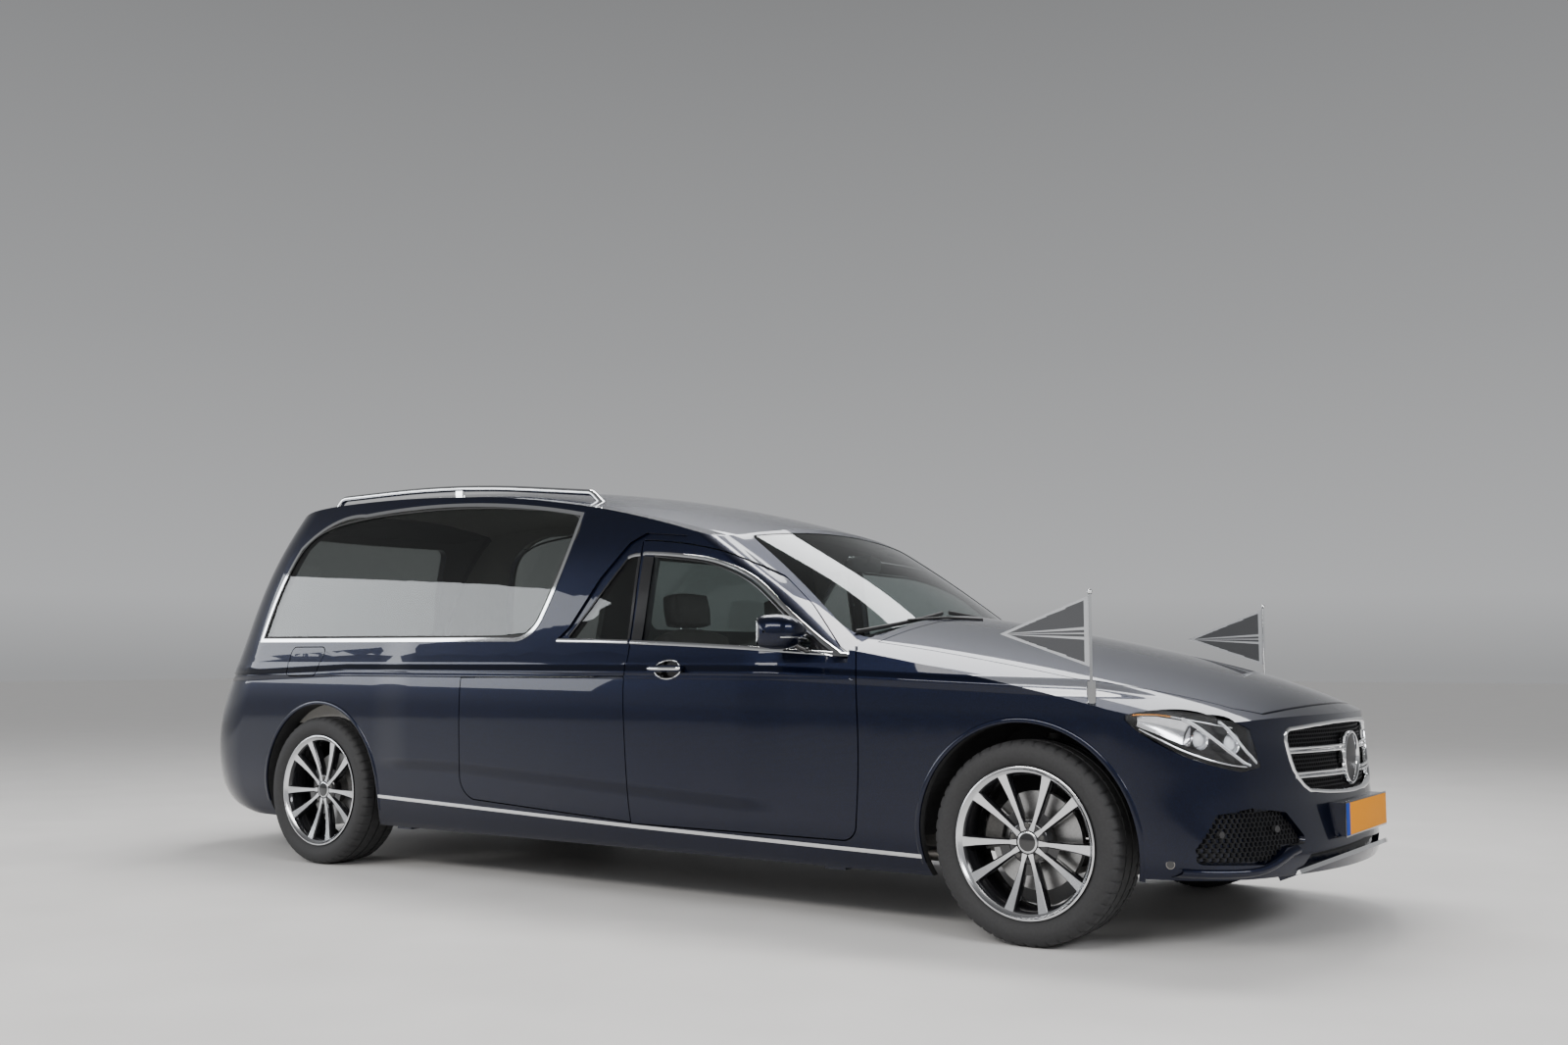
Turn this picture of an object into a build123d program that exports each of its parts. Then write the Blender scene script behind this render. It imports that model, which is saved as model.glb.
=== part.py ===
"""A full-size hearse on an extended car body: every panel, door, lamp, wheel and inner part is its own solid.

The frame: +X points forward, +Y to the car's left, +Z up. The origin is on the ground, at the middle of
the vehicle's length and width. All sizes are millimetres.
"""
import math
import os
from functools import cache

from build123d import *

os.makedirs("parts", exist_ok=True)

# Wheels and axles
front_axle_x = 1932
wheelbase = 3600
rear_axle_x = front_axle_x - wheelbase
wheel_radius = 338
hub_z = wheel_radius
tyre_width = 236
track_front = 1605
track_rear = 1619
arch_radius = 396
liner_radius = 412
liner_wall = 8
rear_liner_y = 640
front_liner_y = 470
liner_low_z = 330

# Walls
door_wall = 85
cabin_wall = 45
roof_wall = 40
nose_wall = 36
bonnet_wall = 22
shut_gap = 5
glass_recess = 4
glass_thickness = 5
trim_width = 16
trim_proud = 3

# Door handles: a bar on two feet over an oval cup
handle_x, handle_z = 416, 907
handle_length = 176
handle_height = 24
handle_proud = 30
handle_bar = 10
handle_skin_y = 904
cup_depth = 24

# Jacking pads under the sills
jack_x = 1150
jack_y = 815
jack_length, jack_width = 90, 60
jack_low_z = 187

# Heights
floor_bottom_z = 212
floor_thickness = 40
floor_top_z = floor_bottom_z + floor_thickness
deck_z = 600
deck_thickness = 30
deck_margin = 14
shoulder_z = 930
cowl_x = 1240
bulkhead_x = 1262
bulkhead_thickness = 36
nose_split_x = 1262
sill_cut_z = 196
flange_depth = 22
flange_step = 14
bonnet_front_gap = 5
tailgate_hinge_x = -2150
tailgate_bottom_z = 706
tail_lamp_inner_y = 575
lamp_inner_y = 610
roof_front_x = 590
roof_half_width = 560
fuel_pocket_y = 845
lamp_depth = 60
grille_frame_width = 15
grille_bar_height = 20
grille_bar_heights = (562, 644)
emblem_radius = 92
emblem_z = 603
rear_floor_z = 460
floor_rear_wall = 28
floor_step_x = -1120
partition_x = -40
partition_thickness = 26
dash_half_width = 690
seat_width = 500
seat_centre_y = 370
seat_clearance = 0.3
bearing_clearance = 0.08

# Front and rear running gear
kingpin_y = track_front / 2 - 55
spindle_radius = 30
spindle_reach = 46
arm_top_z = 218
arm_thickness = 22
arm_end_radius = 20
strut_top_z = 690
carrier_rear_y = track_rear / 2 - 65
spoke_pairs = 5
spoke_spread = 15.5
spoke_back = 50
disc_radius = 165
disc_thickness = 28
hub_radius = 72
groove_places = (-52, 0, 52)

# Door mirrors. Columns: place across, station, height of the middle, length, height
mirror_sections = [
    (-866, 1020, 968, 90, 40), (-905, 1005, 1000, 120, 70), (-940, 985, 1036, 190, 128),
    (-1000, 970, 1040, 190, 132), (-1031, 965, 1042, 120, 80),
]
steering_x, steering_y, steering_z = 690, 370, 930
column_lean = 25
column_reach = 90
steering_radius = 180
steering_grip = 15

# Roof rails. Columns: station, height, bend radius
rail_y = 575
rail_radius = 14
rail_points = [(-2012, 1680, 0), (-1950, 1740, 60), (-1120, 1753, 8000), (-290, 1670, 60), (-215, 1606, 0)]
rail_post_x = -1120
rail_post_z = 1740

# Wing flags
pole_x, pole_y = 2175, 890
pole_low_z = 790
pole_socket_z = 872
pole_top_z = 1163
pole_radius = 5
pennant_thickness = 2
inner_mirror_x = 740
inner_mirror_z = 1345

# Openings in the nose in front view. Columns: distance from the centre plane, height
side_intake_points = [(826, 300), (830, 350), (780, 454), (667, 471), (519, 451), (430, 350),
                      (545, 340), (614, 292)]
centre_intake_points = [(-486, 270), (-430, 312), (0, 330), (430, 312), (486, 270), (0, 296)]
nose_low_z = 250
blade_tip_x, blade_tip_z = 2828, 318
blade_lean = 23
blade_reach = 500
blade_drop = 127
blade_depth = 75
blade_thickness = 14
plate_half_width, plate_low_z, plate_high_z, plate_x = 262, 356, 466, 2796

# The band that steps in between the long window and the quarter glass, in side view
sail_depth = 10
sail_points = [(-218, 1022), (-158, 1076), (-24, 1277), (107, 1422), (186, 1458), (400, 1438), (392, 1420),
               (188, 1434), (146, 1394), (120, 1386), (-168, 1038)]
buffer_x, buffer_y = 1932, 600
rear_bumper_points = [(-1985, 100), (-1985, 606), (-2422, 700), (-3000, 700), (-3000, 100)]
front_bumper_points = [(2240, 100), (2290, 440), (2360, 560), (2560, 584), (2650, 590), (2650, 725), (2720, 750),
                       (2860, 750), (3000, 725), (3000, 100)]

# Plan outlines of the lower body. Columns: height, front tip, rear tip, half width,
# front crown radius, side radius, front corner radius, rear corner radius
lower_sections = [
    (196, 2700, -2600, 858, 1500, 250000, 420, 480),
    (356, 2785, -2800, 909, 1550, 250000, 420, 500),
    (516, 2758, -2828, 921, 1590, 250000, 420, 520),
    (676, 2746, -2800, 926, 1630, 250000, 420, 520),
    (836, 2722, -2732, 921, 1680, 250000, 420, 510),
    (996, 2680, -2692, 885, 1700, 160000, 420, 490),
    (1156, 2620, -2668, 830, 1700, 100000, 420, 470),
]
lower_middle_x = 0

# Plan outlines of the cabin, with the windscreen in front and the tailgate behind. Same columns.
cabin_sections = [
    (860, 1616, -2722, 927, 1600, 250000, 95, 500),
    (1080, 1262, -2665, 856, 1660, 115000, 95, 455),
    (1300, 927, -2575, 812, 1750, 70000, 100, 400),
    (1520, 547, -2455, 750, 1900, 60000, 110, 345),
    (1740, 147, -2310, 668, 2000, 52000, 115, 300),
    (1960, -270, -2140, 570, 2100, 46000, 120, 260),
]
cabin_middle_x = -300
rear_crown_radius = 2400

# Roof line on the centre plane, at even stations. Columns: station, height
roof_line = [
    (1500, 1130), (1200, 1262), (900, 1388), (600, 1495), (300, 1576), (0, 1640), (-300, 1688), (-600, 1725),
    (-900, 1748), (-1200, 1761), (-1500, 1766), (-1800, 1762), (-2100, 1738), (-2400, 1612), (-2700, 1270),
]
roof_crown_radius = 3400

# Bonnet line on the centre plane, at even stations. Columns: station, height
bonnet_line = [
    (1100, 1140), (1400, 1098), (1700, 1048), (2000, 990), (2300, 921), (2600, 824), (2900, 640),
]
bonnet_crown_radius = 2800
tool_half_width = 1000
tool_top_z = 2400
far = 1400


def on_circle(centre, towards, radius):
    """The point of a circle that lies from its centre in the direction of another point."""
    distance = math.dist(centre, towards)
    return (
        centre[0] + (towards[0] - centre[0]) * radius / distance,
        centre[1] + (towards[1] - centre[1]) * radius / distance,
    )


def corner_centre(end_centre, end_radius, side_centre, side_radius, radius, ahead):
    """The centre of a corner arc that touches an end arc and a side arc from inside."""
    distance = math.dist(end_centre, side_centre)
    from_end = end_radius - radius
    from_side = side_radius - radius
    along = (from_end ** 2 - from_side ** 2 + distance ** 2) / (2 * distance)
    across = math.sqrt(from_end ** 2 - along ** 2)
    ux = (side_centre[0] - end_centre[0]) / distance
    uy = (side_centre[1] - end_centre[1]) / distance
    base = (end_centre[0] + along * ux, end_centre[1] + along * uy)
    pair = [(base[0] - across * uy, base[1] + across * ux), (base[0] + across * uy, base[1] - across * ux)]
    return max(pair, key=lambda centre: centre[0] * ahead)


def mirrored(point):
    """The same plan point on the other side of the car."""
    return (point[0], -point[1])


def plan_section(row, middle_x, inset):
    """One closed plan outline of eight tangent arcs, moved inwards by the inset."""
    z, front_x, rear_x, half_width, front_radius, side_radius, front_corner, rear_corner = row
    front_x, rear_x, half_width = front_x - inset, rear_x + inset, half_width - inset
    front_radius, side_radius = front_radius - inset, side_radius - inset
    front_corner, rear_corner = max(front_corner - inset, 30), max(rear_corner - inset, 30)
    rear_radius = rear_crown_radius - inset
    front_centre = (front_x - front_radius, 0)
    rear_centre = (rear_x + rear_radius, 0)
    side_centre = (middle_x, half_width - side_radius)
    front_turn = corner_centre(front_centre, front_radius, side_centre, side_radius, front_corner, 1)
    rear_turn = corner_centre(rear_centre, rear_radius, side_centre, side_radius, rear_corner, -1)
    a = on_circle(front_centre, front_turn, front_radius)
    b = on_circle(side_centre, front_turn, side_radius)
    c = on_circle(side_centre, rear_turn, side_radius)
    d = on_circle(rear_centre, rear_turn, rear_radius)
    ab = on_circle(front_turn, ((a[0] + b[0]) / 2, (a[1] + b[1]) / 2), front_corner)
    bc = on_circle(side_centre, ((b[0] + c[0]) / 2, (b[1] + c[1]) / 2), side_radius)
    cd = on_circle(rear_turn, ((c[0] + d[0]) / 2, (c[1] + d[1]) / 2), rear_corner)
    with BuildSketch(Plane.XY.offset(z)) as section:
        with BuildLine():
            ThreePointArc(mirrored(a), (front_x, 0), a)
            ThreePointArc(a, ab, b)
            ThreePointArc(b, bc, c)
            ThreePointArc(c, cd, d)
            ThreePointArc(d, (rear_x, 0), mirrored(d))
            ThreePointArc(mirrored(d), mirrored(cd), mirrored(c))
            ThreePointArc(mirrored(c), mirrored(bc), mirrored(b))
            ThreePointArc(mirrored(b), mirrored(ab), mirrored(a))
        make_face()
    return section.sketch


def lofted_body(sections, middle_x, inset):
    """The loft through a table of plan outlines."""
    with BuildPart() as body:
        for row in sections:
            add(plan_section(row, middle_x, inset))
        loft()
    return body.part


def crowned_tool(line, radius, inset):
    """Everything above a crowned surface that follows a line of stations and heights."""
    drop = radius - math.sqrt(radius ** 2 - tool_half_width ** 2)
    with BuildPart() as tool:
        for x, z in line:
            with BuildSketch(Plane.YZ.offset(x)):
                edge_z = z - inset - drop
                with BuildLine():
                    ThreePointArc((-tool_half_width, edge_z), (0, z - inset), (tool_half_width, edge_z))
                    Polyline(
                        (tool_half_width, edge_z), (tool_half_width, tool_top_z),
                        (-tool_half_width, tool_top_z), (-tool_half_width, edge_z),
                    )
                make_face()
        loft()
    return tool.part


@cache
def lower_form(inset, top_inset):
    """The closed lower body, under the shoulder line behind the cowl and under the bonnet line ahead of it."""
    with BuildPart() as form:
        add(lofted_body(lower_sections, lower_middle_x, inset))
        with BuildSketch(Plane.XY.offset(shoulder_z)):
            with Locations((cowl_x - far, 0)):
                Rectangle(far * 2, far * 2)
            with Locations((cowl_x - far * 3, 0)):
                Rectangle(far * 2, far * 2)
        extrude(amount=far, mode=Mode.SUBTRACT)
        add(crowned_tool(bonnet_line, bonnet_crown_radius, top_inset), mode=Mode.SUBTRACT)
    return form.part


@cache
def cabin_form(inset, top_inset, bottom_z):
    """The closed cabin from a given height up to the roof."""
    with BuildPart() as form:
        add(lofted_body(cabin_sections, cabin_middle_x, inset))
        with BuildSketch(Plane.XY.offset(bottom_z)):
            Rectangle(far * 5, far * 2)
        extrude(amount=far, mode=Mode.INTERSECT)
        add(crowned_tool(roof_line, roof_crown_radius, top_inset), mode=Mode.SUBTRACT)
    return form.part


def slab(x_low, x_high, y_low, y_high, z_low, z_high):
    """A plain block between two corners."""
    with BuildPart() as block:
        with BuildSketch(Plane.XY.offset(z_low)):
            with Locations(((x_low + x_high) / 2, (y_low + y_high) / 2)):
                Rectangle(x_high - x_low, y_high - y_low)
        extrude(amount=z_high - z_low)
    return block.part


def prism(outline, grow, y_from, y_to):
    """A side-view outline, grown by a distance, pulled across the car between two places."""
    with BuildPart() as block:
        with BuildSketch(Plane.XZ.offset(-y_from)):
            add(outline())
            if grow:
                offset(amount=grow, kind=Kind.INTERSECTION)
        extrude(amount=y_from - y_to)
    return block.part


def common(first, second):
    """What two solids share."""
    with BuildPart() as shared:
        add(first)
        add(second, mode=Mode.INTERSECT)
    return shared.part


def without(first, *others):
    """A solid less others."""
    with BuildPart() as rest:
        add(first)
        add(list(others), mode=Mode.SUBTRACT)
    return rest.part


def joined(*pieces):
    """Several solids as one."""
    with BuildPart() as whole:
        add(list(pieces))
    return whole.part


def side_pair(piece):
    """A solid of the right side with its mirror image on the left."""
    with BuildPart() as pair:
        add(piece)
        mirror(piece, about=Plane.XZ)
    return pair.part


def wheel_drum(x, radius, y_from, y_to):
    """A cylinder across the car about a wheel's centre, on the right side."""
    with BuildPart() as drum:
        with BuildSketch(Plane.XZ.offset(-y_from)):
            with Locations((x, hub_z)):
                Circle(radius)
        extrude(amount=y_from - y_to)
    return drum.part


# Shut lines and window outlines, drawn on the XZ plane as seen from the right
def door_outline():
    """The front door: an upright rear edge, a roof-side frame and a bowed front edge."""
    with BuildSketch() as face:
        with BuildLine():
            Polyline((229, 301), (192, 992), (180, 1424))
            ThreePointArc((180, 1424), (400, 1402), (600, 1362))
            ThreePointArc((600, 1362), (830, 1262), (1000, 1150))
            Line((1000, 1150), (1268, 972))
            ThreePointArc((1268, 972), (1295, 700), (1277, 364))
            ThreePointArc((1277, 364), (1258, 319), (1215, 301))
            Line((1215, 301), (229, 301))
        make_face()
    return face.sketch


def door_window_outline():
    """The front door's glass, over the belt line."""
    with BuildSketch() as face:
        with BuildLine():
            Line((246, 1014), (246, 1368))
            ThreePointArc((246, 1368), (420, 1350), (567, 1322))
            ThreePointArc((567, 1322), (760, 1244), (942, 1115))
            Line((942, 1115), (1150, 974))
            Line((1150, 974), (246, 1014))
        make_face()
    return face.sketch


def quarter_window_outline():
    """The fixed glass behind the front door, leaning back to a point."""
    with BuildSketch() as face:
        with BuildLine():
            Line((-150, 1030), (176, 1020))
            Line((176, 1020), (168, 1374))
            ThreePointArc((168, 1374), (150, 1376), (128, 1370))
            Line((128, 1370), (-150, 1030))
        make_face()
    return face.sketch


def rear_window_outline():
    """The long side window of the load space."""
    with BuildSketch() as face:
        with BuildLine():
            ThreePointArc((-2190, 1042), (-2141, 1272), (-2055, 1480))
            ThreePointArc((-2055, 1480), (-1908, 1578), (-1637, 1622))
            ThreePointArc((-1637, 1622), (-930, 1634), (-205, 1552))
            ThreePointArc((-205, 1552), (-250, 1340), (-328, 1128))
            ThreePointArc((-328, 1128), (-383, 1058), (-478, 1034))
            Line((-478, 1034), (-2190, 1042))
        make_face()
    return face.sketch


def hatch_outline():
    """The low side hatch between the front door and the rear wheel."""
    with BuildSketch() as face:
        with BuildLine():
            Polyline((224, 306), (194, 872), (-728, 862), (-725, 440))
            ThreePointArc((-725, 440), (-700, 380), (-650, 350))
            Line((-650, 350), (224, 306))
        make_face()
    return face.sketch


def fuel_outline():
    """The fuel flap behind the right rear wheel."""
    with BuildSketch() as face:
        with BuildLine() as flap:
            Polyline((-1943, 998), (-1692, 998), (-1716, 866), (-1925, 866), (-1943, 998))
            fillet(flap.vertices(), radius=26)
        make_face()
    return face.sketch


def bonnet_plan(front_gap):
    """The bonnet seen from above."""
    with BuildSketch() as face:
        with BuildLine():
            Polyline((1296, 768), (2050, 742), (2540, 596), (2618 - front_gap, 536))
            ThreePointArc((2618 - front_gap, 536), (2680 - front_gap, 0), (2618 - front_gap, -536))
            Polyline((2618 - front_gap, -536), (2540, -596), (2050, -742), (1296, -768))
            ThreePointArc((1296, -768), (1330, 0), (1296, 768))
        make_face()
    return face.sketch


def bonnet_prism(grow, front_gap):
    """The bonnet's plan outline, grown by a distance and pulled up."""
    with BuildPart() as block:
        with BuildSketch(Plane.XY.offset(690)):
            add(bonnet_plan(front_gap))
            if grow:
                offset(amount=grow, kind=Kind.INTERSECTION)
        extrude(amount=500)
    return block.part


def headlamp_outline():
    """The headlamp's lens, swept back into the wing."""
    with BuildSketch() as face:
        with BuildLine():
            ThreePointArc((2296, 764), (2390, 783), (2499, 766))
            ThreePointArc((2499, 766), (2577, 745), (2610, 718))
            Polyline((2610, 718), (2632, 597), (2598, 585))
            ThreePointArc((2598, 585), (2459, 639), (2330, 717))
            Polyline((2330, 717), (2294, 750), (2296, 764))
        make_face()
    return face.sketch


def tail_lamp_outline():
    """The tail lamp's side edge."""
    with BuildSketch() as face:
        with BuildLine():
            Polyline((-2465, 912), (-2535, 704), (-2900, 704), (-2900, 912), (-2465, 912))
        make_face()
    return face.sketch


def grille_outline():
    """The grille's mouth in front view: wide at the top and drawn in below."""
    with BuildSketch() as face:
        with BuildLine():
            ThreePointArc((-458, 721), (0, 738), (458, 721))
            ThreePointArc((458, 721), (481, 706), (489, 678))
            Line((489, 678), (470, 609))
            ThreePointArc((470, 609), (434, 550), (370, 505))
            ThreePointArc((370, 505), (0, 485), (-370, 505))
            ThreePointArc((-370, 505), (-434, 550), (-470, 609))
            Line((-470, 609), (-489, 678))
            ThreePointArc((-489, 678), (-481, 706), (-458, 721))
        make_face()
    return face.sketch


def tailgate_outline():
    """The tailgate in rear view."""
    with BuildSketch() as face:
        with BuildLine() as gate:
            Polyline(
                (-620, 1900), (620, 1900), (620, 960), (568, 920), (568, 706),
                (-568, 706), (-568, 920), (-620, 960), (-620, 1900),
            )
        make_face()
    return face.sketch


def tailgate_window_outline():
    """The rear window in rear view."""
    with BuildSketch() as face:
        with BuildLine() as pane:
            Polyline((-470, 1560), (470, 1560), (600, 1060), (-600, 1060), (-470, 1560))
            fillet(pane.vertices(), radius=60)
        make_face()
    return face.sketch


def cross_prism(outline, grow, x_from, x_to):
    """A front-view outline, grown by a distance, pulled along the car between two stations."""
    with BuildPart() as block:
        with BuildSketch(Plane.YZ.offset(x_from)):
            add(outline())
            if grow:
                offset(amount=grow, kind=Kind.INTERSECTION)
        extrude(amount=x_to - x_from)
    return block.part


def door_side_outline():
    """The room that a right door may take in front view: outside the pillar and the dashboard."""
    with BuildSketch() as face:
        with BuildLine():
            Polyline(
                (-far, 0), (-770, 0), (-770, 480), (-836, 700), (-836, 990), (-744, 1150), (-650, 1440),
                (-650, 1700), (-far, 1700), (-far, 0),
            )
        make_face()
    return face.sketch


def door_prism(outline, grow):
    """A door's side-view outline, grown by a distance and kept outside the pillar."""
    return common(prism(outline, grow, -550, side_far), cross_prism(door_side_outline, grow, -100, 1500))


side_far = -far
glass_inner = glass_recess + glass_thickness

# The closed forms: the outer skin, the inner face of walls, and the layers of the glass and its trim
skin = joined(lower_form(0, 0), cabin_form(0, 0, 870))
inner_space = joined(lower_form(door_wall, roof_wall), cabin_form(cabin_wall, roof_wall, shoulder_z - 10))
nose_space = lower_form(nose_wall, nose_wall)
glass_outer_form = cabin_form(glass_recess, glass_recess, shoulder_z)
glass_layer = without(glass_outer_form, cabin_form(glass_inner, glass_inner, shoulder_z - 20))


def windscreen_outline():
    """The windscreen opening in front view."""
    with BuildSketch() as face:
        with BuildLine() as screen:
            ThreePointArc((-752, 1004), (0, 1100), (752, 1004))
            Line((752, 1004), (600, 1440))
            ThreePointArc((600, 1440), (0, 1478), (-600, 1440))
            Line((-600, 1440), (-752, 1004))
            fillet(screen.vertices(), radius=50)
        make_face()
    return face.sketch


def partition_window_outline():
    """The window between the seats and the load space."""
    with BuildSketch() as face:
        with Locations((0, 1220)):
            RectangleRounded(1000, 300, 50)
    return face.sketch


def zone(points, y_from, y_to):
    """A side-view polygon pulled across the car."""
    with BuildPart() as block:
        with BuildSketch(Plane.XZ.offset(-y_from)):
            with BuildLine():
                Polyline(*points, points[0])
            make_face()
        extrude(amount=y_from - y_to)
    return block.part


def stepped(outline_prism, wall):
    """A panel with its outer flange at full size and its inner part drawn in, as on a real door."""
    flange = without(outline_prism(0), step_form)
    return common(wall, joined(outline_prism(-flange_step), flange))


def write(part, name):
    """Label a finished piece and write its STEP file."""
    part.label = name
    export_step(part, "parts/" + name + ".step")


nose_box = slab(nose_split_x, far * 2.2, -far, far, sill_cut_z + 1, tool_top_z)
main_box = slab(-far * 2.2, nose_split_x, -far, far, sill_cut_z + 1, tool_top_z)
open_box = slab(-far * 2.2, far * 2.2, -far, far, sill_cut_z + 1, tool_top_z)
lower_skin = lower_form(0, 0)
full_wall = without(common(skin, open_box), inner_space)
main_wall = common(full_wall, main_box)
nose_shell = without(common(lower_skin, nose_box), nose_space)
step_form = joined(lower_form(flange_depth, flange_depth), cabin_form(flange_depth, flange_depth, 870))

# Zones and cutters that neighbours share
arches = joined(
    side_pair(wheel_drum(front_axle_x, arch_radius, -600, side_far)),
    side_pair(wheel_drum(rear_axle_x, arch_radius, -600, side_far)),
)
door_cut = side_pair(door_prism(door_outline, shut_gap))
hatch_cut = side_pair(prism(hatch_outline, shut_gap, -550, side_far))
tailgate_front_x = tailgate_hinge_x + shut_gap
tailgate_zone = slab(-far * 2.2, tailgate_front_x, -far, far, tailgate_bottom_z, tool_top_z)
tailgate_cut = common(cross_prism(tailgate_outline, shut_gap, -far * 2.2, tailgate_front_x), tailgate_zone)
fuel_cut = prism(fuel_outline, shut_gap, -fuel_pocket_y, side_far)
tail_lamp_cut = side_pair(prism(tail_lamp_outline, 0, -tail_lamp_inner_y, side_far))
head_lamp_cut = side_pair(prism(headlamp_outline, 0, -lamp_inner_y, side_far))
quarter_cut = side_pair(prism(quarter_window_outline, 0, -500, side_far))
rear_window_cut = side_pair(prism(rear_window_outline, 0, -500, side_far))
screen_cut = cross_prism(windscreen_outline, 0, 300, 1500)
rear_bumper_zone = zone(rear_bumper_points, far, -far)
front_bumper_zone = zone(front_bumper_points, far, -far)
roof_zone = slab(tailgate_front_x, roof_front_x, -roof_half_width, roof_half_width, 1350, tool_top_z)

# The rear wheelhouses and the front wing liners
def liner(x, inner_y, outer_y):
    """The arched skin over a wheel with its closed inner side."""
    return without(
        wheel_drum(x, liner_radius + liner_wall, -inner_y, -outer_y),
        wheel_drum(x, liner_radius, -inner_y - liner_wall, side_far),
        slab(-far * 2.2, far * 2.2, -far, far, -far, liner_low_z),
    )


rear_liner = without(
    liner(rear_axle_x, rear_liner_y, track_rear / 2 + 40),
    slab(-2200, -1980, -900, -790, 0, 660),
)
front_liner = without(
    liner(front_axle_x, front_liner_y, track_front / 2 + 76),
    slab(2232, 2400, -900, -815, 0, 590),
)
wheel_room = joined(
    side_pair(wheel_drum(front_axle_x, liner_radius + liner_wall, -front_liner_y, side_far)),
    side_pair(wheel_drum(rear_axle_x, liner_radius + liner_wall, -rear_liner_y, side_far)),
)

sail_cut = side_pair(without(
    zone(sail_points, -500, side_far),
    cabin_form(sail_depth, sail_depth, shoulder_z - 20),
))
jack_pads = joined(*[slab(x - jack_length / 2, x + jack_length / 2, y - jack_width / 2, y + jack_width / 2,
                          jack_low_z, sill_cut_z + 20) for x in (-jack_x, jack_x) for y in (-jack_y, jack_y)])
body_shell = joined(
    without(main_wall, sail_cut, arches, door_cut, hatch_cut, tailgate_cut, fuel_cut, tail_lamp_cut, quarter_cut,
            rear_window_cut, screen_cut, rear_bumper_zone, roof_zone),
    side_pair(common(rear_liner, slab(-far * 2.2, far * 2.2, -far, far, 0, 900))),
    jack_pads,
)
write(body_shell, "body_shell")

roof_panel = without(common(main_wall, roof_zone), screen_cut)
write(roof_panel, "roof_panel")

grille_mouth = cross_prism(grille_outline, 0, 2450, 2900)
front_body = joined(
    without(nose_shell, bonnet_prism(shut_gap, 0), front_bumper_zone, head_lamp_cut, door_cut, arches,
            grille_mouth),
    side_pair(common(front_liner, nose_box)),
    side_pair(common(slab(buffer_x - 30, buffer_x + 30, -buffer_y - 30, -buffer_y + 30, 750, tool_top_z),
                     lower_form(bonnet_wall + seat_clearance, bonnet_wall + seat_clearance))),
)
write(front_body, "front_body")
bonnet_layer = without(lower_skin, lower_form(bonnet_wall, bonnet_wall))
bonnet = common(bonnet_layer, bonnet_prism(0, bonnet_front_gap))
write(bonnet, "bonnet")
fuel_flap = without(common(main_wall, prism(fuel_outline, 0, -fuel_pocket_y, side_far)), step_form)
write(fuel_flap, "fuel_flap")

# Doors and hatches, each a stepped panel with its window cut
def handle_cup_outline():
    """The finger cup behind the handle."""
    with BuildSketch() as face:
        with Locations((handle_x, handle_z - 4)):
            Ellipse(62, 34)
    return face.sketch


def handle_outline():
    """The handle in side view."""
    with BuildSketch() as face:
        with Locations((handle_x, handle_z)):
            SlotOverall(handle_length, handle_height)
    return face.sketch


handle_low_y = handle_skin_y - cup_depth
handle_high_y = handle_skin_y + handle_proud
handle = without(
    prism(handle_outline, 0, -handle_low_y, -handle_high_y),
    slab(handle_x - handle_length / 2 + 22, handle_x + handle_length / 2 - 22, -handle_high_y + handle_bar,
         -handle_low_y + 10, handle_z - handle_height, handle_z + handle_height),
)
door_right = joined(
    without(
        stepped(lambda grow: door_prism(door_outline, grow), full_wall),
        prism(door_window_outline, 0, -500, side_far),
        prism(handle_cup_outline, 0, -handle_low_y, side_far),
    ),
    handle,
)
door_left = mirror(door_right, about=Plane.XZ)
write(door_right, "door_right")
write(door_left, "door_left")
hatch_right = stepped(lambda grow: prism(hatch_outline, grow, -550, side_far), full_wall)
hatch_left = mirror(hatch_right, about=Plane.XZ)
write(hatch_right, "hatch_right")
write(hatch_left, "hatch_left")

rear_zone = slab(-far * 2.2, tailgate_hinge_x, -far, far, tailgate_bottom_z, tool_top_z)
tailgate = common(without(
    stepped(lambda grow: cross_prism(tailgate_outline, grow, -far * 2.2, tailgate_hinge_x), full_wall),
    cross_prism(tailgate_window_outline, 0, -far * 2.2, -2250),
    tail_lamp_cut,
), rear_zone)
write(tailgate, "tailgate")
tailgate_glass = common(glass_layer, cross_prism(tailgate_window_outline, 0, -far * 2.2, -2250))
write(tailgate_glass, "tailgate_glass")

# Glass
door_glass_right = common(glass_layer, door_prism(door_window_outline, 0))
write(door_glass_right, "door_glass_right")
write(mirror(door_glass_right, about=Plane.XZ), "door_glass_left")
windscreen = common(glass_layer, screen_cut)
write(windscreen, "windscreen")
side_windows = joined(common(glass_layer, quarter_cut), common(glass_layer, rear_window_cut))
write(side_windows, "side_windows")

# Bright frames round the side windows
window_ring = without(prism(rear_window_outline, trim_width, -500, side_far), rear_window_cut)
window_trims = side_pair(without(common(cabin_form(-trim_proud, -trim_proud, shoulder_z + 1), window_ring), skin))
write(window_trims, "window_trims")

# Lamps
lamp_layer = without(lower_skin, lower_form(lamp_depth, 0))
tail_lamps = common(lamp_layer, tail_lamp_cut)
headlamps = common(lamp_layer, head_lamp_cut)
write(tail_lamps, "tail_lamps")
write(headlamps, "headlamps")

# Bumpers
def nose_prism(points, corner):
    """A front-view polygon with rounded corners, pulled along the nose."""
    with BuildPart() as block:
        with BuildSketch(Plane.YZ.offset(2300)):
            with BuildLine() as edge:
                Polyline(*points, points[0])
                fillet(edge.vertices(), radius=corner)
            make_face()
        extrude(amount=700)
    return block.part


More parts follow.
